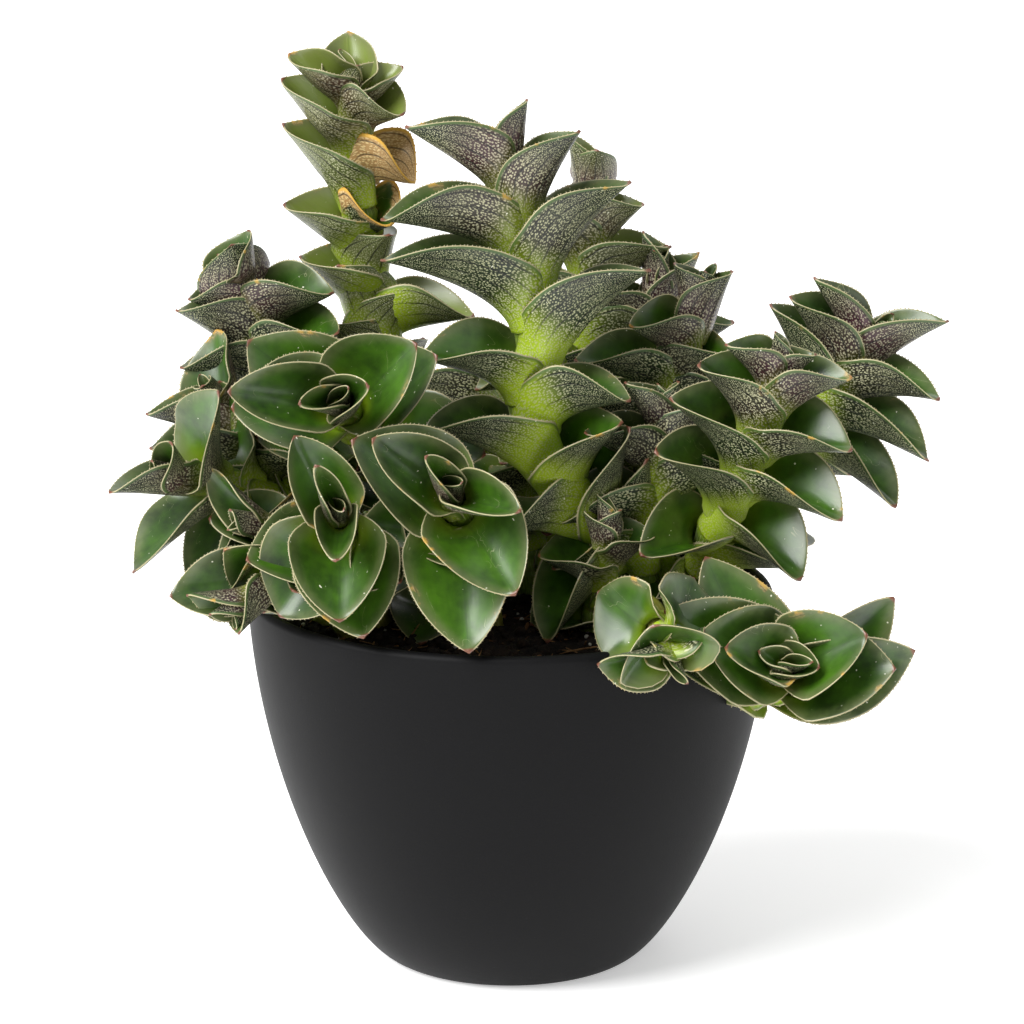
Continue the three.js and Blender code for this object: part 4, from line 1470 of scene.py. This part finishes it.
class Bit(Enum):
    """Loose bits on the soil: their piece's name, how many there are, their least and most half
    size in millimetres, and their scale along each axis."""

    CRUMB = ("soil_crumbs", 900, (0.5, 1.9), (1.0, 0.9, 0.7))
    BARK = ("bark_flecks", 260, (0.6, 1.8), (1.6, 0.6, 0.3))
    PERLITE = ("perlite", 120, (0.5, 1.25), (1.0, 0.9, 0.85))
    FIBRE = ("fibres", 150, (1.5, 4.2), (1.6, 0.09, 0.09))


@dataclass
class Soil:
    """The soil: a rough crown under the lip, and loose bits half sunk in it, in millimetres."""

    top: float = 85.0
    crown: float = 1.5
    edge: float = 58.9
    bottom: float = 70.0

    # Rings from the middle to the edge and points in each, how far the drum below is drawn in, and
    # the share of the radius over which the lumps die out at the edge.
    rings: int = 70
    sides: int = 220
    drawn_in: float = 0.6
    calm_edge: float = 0.04

    # Height, number of waves, shortest wave and seed of the coarse and the fine lumps.
    lumps: tuple[tuple[float, int, float, int], ...] = ((1.1, 24, 5.0, 11), (0.45, 40, 1.3, 12))

    # A bit's sides, the radius and height of its upper and lower ring and the heights of its two
    # ends, as shares of its half size; how uneven it is; how far it leans, in radians; how much of
    # it stands proud of the soil; how far from the edge it stays; and the first kind's seed.
    bit_sides: int = 6
    upper_ring: tuple[float, float] = (0.8, 0.5)
    lower_ring: tuple[float, float] = (0.95, -0.4)
    bit_ends: tuple[float, float] = (0.95, -0.9)
    uneven: float = 0.22
    lean: float = 0.35
    proud: float = 0.25
    bit_margin: float = 3.5
    first_seed: int = 21

    def height_at(self, x: Array, y: Array) -> Array:
        """The soil's height: a low crown with coarse and fine lumps that die out at the edge.

        Args:
            x: Places to the right, in one row.
            y: Places to the rear, likewise.

        Returns:
            Heights in millimetres.
        """
        places = np.stack([x, y], axis=1)
        lumps = sum(high * ripple(places, waves, finest, seed) for high, waves, finest, seed in self.lumps)
        away = np.hypot(x, y) / self.edge
        return self.top + self.crown * (1 - away**2) + lumps * ease((1 - away) / self.calm_edge)

    def crown_shell(self) -> Shell:
        """The soil's body: a disc of rings at the soil's height over a plain drum.

        Returns:
            The shell.
        """
        out = np.linspace(PINHOLE, self.edge, self.rings)
        radius = np.concatenate([out, [self.edge - self.drawn_in, PINHOLE]])
        shell = turned(np.stack([radius, radius], axis=1), self.sides)
        height = self.height_at(shell.points[:, 0], shell.points[:, 1])
        height[len(out) * self.sides :] = self.bottom
        shell.points[:, 2] = height
        shell.quads, shell.triangles = closed_tube(shell.points, self.sides)
        return shell

    def one_bit(self) -> tuple[Array, Array, Array]:
        """A bit's corners, quads and triangles: a six-sided ring over another, and a point above
        and below them.

        Returns:
            The three arrays, at a half size of 1.
        """
        sides = self.bit_sides
        ring = np.stack([np.cos(circle(sides)), np.sin(circle(sides))], axis=1)
        upper = np.hstack([self.upper_ring[0] * ring, np.full((sides, 1), self.upper_ring[1])])
        lower = np.hstack([self.lower_ring[0] * ring[:, ::-1], np.full((sides, 1), self.lower_ring[1])])
        body = np.vstack([[0, 0, self.bit_ends[0]], upper, lower, [0, 0, self.bit_ends[1]]])
        order = 1 + sides + np.argsort(np.arctan2(lower[:, 1], lower[:, 0]) % (2 * np.pi))
        i = np.arange(sides)
        after = (i + 1) % sides
        quads = np.stack([order[i], order[after], 1 + after, 1 + i], axis=1)
        triangles = np.vstack([
            np.stack([np.zeros(sides, int), 1 + i, 1 + after], axis=1),
            np.stack([np.full(sides, len(body) - 1), order[after], order[i]], axis=1),
        ])
        return body, *turned_right_out(body, quads, triangles)

    def bits(self, count: int, sizes: tuple[float, float], shape: Triple, seed: int) -> Shell:
        """Small rough stones, each scaled, leant, turned and set on the soil.

        Args:
            count: How many.
            sizes: Smallest and largest half size.
            shape: Scale along each axis.
            seed: Seed of their places and turns.

        Returns:
            One shell with all of them.
        """
        rng = np.random.default_rng(seed)
        body, quads, triangles = self.one_bit()
        size = mix(*sizes, rng.uniform(0, 1, (count, 1, 1)) ** 2)
        rough = 1 + self.uneven * rng.uniform(-1, 1, (count, len(body), 1))
        x, y, z = np.moveaxis(body[None] * rough * size * np.array(shape), -1, 0)
        spin, lean = rng.uniform(0, 2 * np.pi, (count, 1)), rng.normal(0, self.lean, (count, 1))
        x, z = x * np.cos(lean) + z * np.sin(lean), z * np.cos(lean) - x * np.sin(lean)
        x, y = x * np.cos(spin) - y * np.sin(spin), x * np.sin(spin) + y * np.cos(spin)
        away = (self.edge - self.bit_margin) * np.sqrt(rng.uniform(0, 1, count))
        around = rng.uniform(0, 2 * np.pi, count)
        at_x, at_y = away * np.cos(around), away * np.sin(around)
        at_z = self.height_at(at_x, at_y) + self.proud * size[:, 0, 0] * shape[2]
        points = np.stack([x + at_x[:, None], y + at_y[:, None], z + at_z[:, None]], axis=-1).reshape(-1, 3)
        step = len(body) * np.arange(count)[:, None, None]
        quads = (quads[None] + step).reshape(-1, 4)
        triangles = (triangles[None] + step).reshape(-1, 3)
        plain = np.ones((len(points), 4))
        return Shell(points, quads, triangles, points[:, :2] / MAP_MM, plain, plain)

    def build(self, finishes: dict[Bit, bpy.types.Material], soil: bpy.types.Material) -> None:
        """Makes the soil and its loose bits and dresses them.

        Args:
            finishes: The material of each kind of bit.
            soil: The material of the soil itself.
        """
        report(make_object("soil_crown", self.crown_shell(), soil), ("potting_soil",))
        for seed, bit in enumerate(Bit, start=self.first_seed):
            name, count, sizes, shape = bit.value
            report(make_object(name, self.bits(count, sizes, shape, seed), finishes[bit]))


@dataclass
class Plant:
    """All shoots of the plant, with their stems, sheaths and leaves. It counts its leaves, and the
    count is each new leaf's seed."""

    leaf: bpy.types.Material
    stem: bpy.types.Material
    hidden_radius: float = 3.6
    hidden_width: float = 27.0
    hidden_spacing: float = 6.0
    hidden_count: int = 7
    thickness: float = 1.5
    count: int = 0

    # The bud's distance below the growing tip, its lean from the stem, its length and half width in
    # the shoot's width, its clasp in stem radii, its fold in degrees, its curl and its thickness.
    bud_down: float = 0.8
    bud_lean: float = 0.32
    bud_length: float = 0.42
    bud_half: float = 0.21
    bud_clasp: float = 0.5
    bud_fold: float = 48
    bud_cup: float = 1.35
    bud_thickness: float = 0.7

    # Plain leaves: length in the shoot's width, turn from one to the next and rise in degrees, and
    # the length of stem in the soil that has none.
    plain_length: float = 0.95
    plain_turn: float = 14
    plain_rise: float = 8
    rooted: float = 8

    # Leaves of the hidden shoots: turn from one to the next, and angle from the stem when youngest
    # and when grown, in degrees; and the youngest's share of the full length.
    rank_turn: float = 9
    closed_angle: float = 18
    open_angle: float = 80
    young_length: float = 0.45

    # The leaf, counted from the tip, that is grown in length and width, that is grown in shape, and
    # at which youth is over; and the youngest's share of the full width.
    grown_size: int = 3
    grown_shape: int = 4
    youth_ends: int = 5
    young_width: float = 0.5

    def down(self, shoot: Shoot, i: int) -> float:
        """How far below the growing tip leaf i sits: the youngest are crowded together."""
        return 1 + shoot.spacing * (i - 1 + 1 / (i + 1))

    def bud(self, shoot: Shoot, line: StemLine, first: LeafForm) -> LeafForm:
        """The small rolled leaf that closes a growing tip, leaning away from the leaf below.

        Args:
            shoot: The shoot.
            line: The stem's middle line.
            first: The youngest leaf as laid out.

        Returns:
            The leaf's form.
        """
        self.count += 1
        place, axis = line.at(self.bud_down)
        aside = unit(first.reach - axis[0] * (first.reach @ axis[0]))
        return LeafForm(
            centre=place[0],
            axis=axis[0],
            reach=unit(axis[0] - self.bud_lean * aside),
            length=self.bud_length * shoot.width,
            clasp=self.bud_clasp * shoot.radius,
            half_width=self.bud_half * shoot.width,
            fold=math.radians(self.bud_fold),
            cup=self.bud_cup,
            arch=0.0,
            turn=0.0,
            youth=1.0,
            dry=0.0,
            flush=shoot.flush,
            yellow=shoot.yellow,
            seed=self.count,
            thickness=self.bud_thickness * self.thickness,
        )

    def regular(
        self, line: StemLine, down: float, heading: float, i: int, length: float
    ) -> tuple[float, Array]:
        """A leaf by the rule of the hidden shoots: square to the stem at a heading that turns a
        little from leaf to leaf, opening from the stem and growing to full length.

        Args:
            line: The stem's middle line.
            down: Distance below the growing tip.
            heading: Heading of the rank.
            i: Number of the leaf from the tip.
            length: Full length.

        Returns:
            The leaf's length and the direction of its tip.
        """
        axis = line.at(down)[1][0]
        outward = direction(heading + 180 * (i % 2) + self.rank_turn * i, 0)
        outward = unit(outward - axis * (outward @ axis))
        angle = math.radians(mix(self.closed_angle, self.open_angle, min(1, i / self.grown_shape)))
        reach = axis * math.cos(angle) + outward * math.sin(angle)
        return length * mix(self.young_length, 1, min(1, i / self.grown_size)), reach

    def form(
        self, shoot: Shoot, line: StemLine, down: float, blade: Blade, i: float, reach: Array | None = None
    ) -> LeafForm:
        """A leaf with every size that its surface needs; youth runs from 1 at the tip to -1.

        Args:
            shoot: Its shoot.
            line: The stem's middle line.
            down: Its distance below the growing tip.
            blade: The leaf as laid out.
            i: Number of the leaf from the tip, with a fraction where it sits between the ranks.
            reach: Direction of its tip, where that isn't the blade's own heading and rise.

        Returns:
            The leaf's form.
        """
        self.count += 1
        place, axis = line.at(down)
        age = min(1.0, i / self.grown_shape)
        size = mix(self.young_width, 1, min(1, i / self.grown_size))
        fold_young, fold_grown, cup_young, cup_grown, arch = shoot.habit.value
        return LeafForm(
            centre=place[0],
            axis=axis[0],
            reach=direction(blade.heading, blade.rise) if reach is None else reach,
            length=blade.length,
            clasp=float(bare_radius(shoot.radius, down)) + self.thickness / 2,
            half_width=shoot.width / 2 * size * blade.wide,
            fold=math.radians(mix(fold_young, fold_grown, age)) * blade.keel,
            cup=mix(cup_young, cup_grown, age) * blade.roll,
            arch=math.radians(arch * age),
            turn=math.radians(blade.turn),
            youth=max(-1.0, 1 - i / self.youth_ends),
            dry=blade.dry,
            flush=shoot.flush,
            yellow=shoot.yellow,
            seed=self.count,
            thickness=self.thickness,
        )

    def grow(self, shoot: Shoot) -> None:
        """Makes a shoot: its own leaves as pieces, its other leaves as one, and its stem.

        Args:
            shoot: The shoot to make.
        """
        line = StemLine(shoot.route)
        laid = list(shoot.blades)
        last = len(laid)
        for i in range(last, last + shoot.more):
            if self.down(shoot, i) > line.length - self.rooted:
                break
            heading = laid[last - 2 + (i - last) % 2].heading + self.plain_turn * (i - last)
            laid.append(Blade(self.plain_length * shoot.width, heading, self.plain_rise))
        forms = [self.form(shoot, line, self.down(shoot, i), blade, i) for i, blade in enumerate(laid)]
        between = []
        for down, blade in shoot.extra:
            between.append(self.form(shoot, line, down, blade, 1 + (down - 1) / shoot.spacing))
        self.place(shoot, line, forms, between)

    def grow_hidden(self, name: str, route: tuple[Triple, ...], heading: float, grown: float) -> None:
        """Makes one of the shoots at the back and inside.

        Args:
            name: Its name.
            route: Its stem's route.
            heading: Heading of its first rank.
            grown: Length of its grown leaves.
        """
        sizes = self.hidden_radius, self.hidden_width, self.hidden_spacing
        shoot = Shoot(name, Habit.ROSETTE, *sizes, route, ())
        line = StemLine(route)
        forms = []
        for i in range(self.hidden_count):
            down = self.down(shoot, i)
            length, reach = self.regular(line, down, heading, i, grown)
            forms.append(self.form(shoot, line, down, Blade(length, 0, 0), i, reach))
        self.place(shoot, line, forms, [])

    def place(self, shoot: Shoot, line: StemLine, forms: list[LeafForm], between: list[LeafForm]) -> None:
        """Puts a shoot's leaves and stem into the scene.

        Args:
            shoot: The shoot.
            line: Its stem's middle line.
            forms: Its leaves from the youngest down.
            between: Its leaves between the ranks.
        """
        loose = [self.bud(shoot, line, forms[0]).shell()]
        loose += [joined([form.shell(), form.teeth()]) for form in between]
        for i, form in enumerate(forms):
            shell = joined([form.shell(), form.teeth()])
            if 1 <= i <= shoot.own:
                piece = make_object(f"{shoot.name}_blade_{i:02d}", shell, self.leaf)
                report(piece, (f"{shoot.name}_leaf_{i:02d}",))
            else:
                loose.append(shell)
        report(make_object(f"{shoot.name}_foliage", joined(loose), self.leaf))
        nodes = np.array([self.down(shoot, i) for i in range(len(forms))])
        stem = StemForm(line, shoot.radius, nodes, shoot.spacing, self.count)
        report(make_object(f"{shoot.name}_stalk", stem.shell(), self.stem), (f"{shoot.name}_stem",))


@dataclass
class Studio:
    """The pale floor, the soft lights and the camera, in metres, watts and degrees."""

    elevation: float = 13.95
    distance: float = 0.9
    target: Triple = (0.00041, 0.0, 0.1097)
    lens: float = 131.2
    sensor: float = 36.0
    sky: float = 0.52
    key: float = 4.7
    key_spread: float = 42.0
    key_place: Triple = (-0.85, -0.55, 1.05)
    side: float = 1.0
    side_place: Triple = (1.1, -0.5, 0.6)
    back: float = 3.0
    back_place: Triple = (0.25, 0.9, 1.2)
    lamp_size: float = 0.8
    aim: Triple = (0.0, 0.0, 0.12)
    paper: str = "#f7f7f7"
    paper_glow: float = 0.4
    floor_reach: float = 6.0

    def lamp(self, name: str, kind: str, place: Triple, energy: float) -> bpy.types.Light:
        """A lamp at a place, turned to face the plant.

        Args:
            name: Its name.
            kind: Its type.
            place: Where it stands, or comes from.
            energy: Its power in watts, or in watts a square metre for a sun.

        Returns:
            The lamp's settings.
        """
        made = bpy.data.lights.new(name, kind)
        made.energy = energy
        holder = bpy.data.objects.new(name, made)
        holder.location = place
        holder.rotation_euler = (Vector(self.aim) - Vector(place)).to_track_quat("-Z", "Y").to_euler()
        bpy.context.scene.collection.objects.link(holder)
        return made

    def light(self) -> None:
        """Sets up the even sky, a broad sun at the left, and weak square lamps right and behind."""
        world = bpy.data.worlds.new("soft_sky")
        world.use_nodes = True
        background = world.node_tree.nodes["Background"]
        background.inputs[0].default_value = (1, 1, 1, 1)
        background.inputs[1].default_value = self.sky
        bpy.context.scene.world = world
        self.lamp("key_light", "SUN", self.key_place, self.key).angle = math.radians(self.key_spread)
        self.lamp("side_light", "AREA", self.side_place, self.side).size = self.lamp_size
        self.lamp("back_light", "AREA", self.back_place, self.back).size = self.lamp_size

    def build(self) -> None:
        """Sets up the floor, the lights and the camera."""
        scene = bpy.context.scene
        scene.view_settings.view_transform = "Standard"
        mesh = bpy.data.meshes.new("pale_floor")
        far = self.floor_reach
        mesh.from_pydata([(-far, -far, 0), (far, -far, 0), (far, far, 0), (-far, far, 0)], [], [(0, 1, 2, 3)])
        floor = bpy.data.objects.new("pale_floor", mesh)
        scene.collection.objects.link(floor)
        f = Finish("pale_paper", Shine(specular=0.1))
        f.shader.inputs["Emission Color"].default_value = (1, 1, 1, 1)
        f.shader.inputs["Emission Strength"].default_value = self.paper_glow
        mesh.materials.append(f.finish(self.paper, 0.9, f.n.noise(f.solid_place(), 300.0), 0.01))
        self.light()
        camera = bpy.data.objects.new("camera", bpy.data.cameras.new("camera"))
        camera.data.lens = self.lens
        camera.data.sensor_width = self.sensor
        up = math.radians(self.elevation)
        x, y, z = self.target
        camera.location = (x, y - self.distance * math.cos(up), z + self.distance * math.sin(up))
        camera.rotation_euler = (math.pi / 2 - up, 0, 0)
        scene.collection.objects.link(camera)
        scene.camera = camera


def main() -> None:
    """Builds the scene in order."""
    logging.basicConfig(level=logging.INFO, format="%(message)s")
    Studio().build()
    mottle, speckle, streak = mottle_group(), speckle_group(), streak_group()
    Pot().build(PotFinish().build(mottle))
    soil = CrumbFinish("dark_soil", "#0d0a08", "#33261c", 0.95, 0.6, 260.0).build(mottle)
    finishes = {
        Bit.CRUMB: CrumbFinish("soil_crumb", "#0f0b08", "#3a2a1e", 0.95, 0.3, 420.0).build(mottle),
        Bit.BARK: CrumbFinish("bark_fleck", "#4a3018", "#a87c4c", 0.85, 0.2, 500.0).build(mottle),
        Bit.PERLITE: CrumbFinish("perlite_grain", "#bdbab0", "#f2f0e8", 0.8, 0.2, 600.0).build(mottle),
        Bit.FIBRE: CrumbFinish("root_fibre", "#5a4026", "#b08a5c", 0.85, 0.1, 500.0).build(mottle),
    }
    Soil().build(finishes, soil)
    leaf = LeafFinish().build(mottle, speckle, streak)
    plant = Plant(leaf, StemFinish().build(mottle, streak))
    for shoot in SHOWN:
        plant.grow(shoot)
    for name, route, heading, grown in HIDDEN:
        plant.grow_hidden(name, route, heading, grown)
    log.info("%d leaves in all", plant.count)


if __name__ == "__main__":
    main()
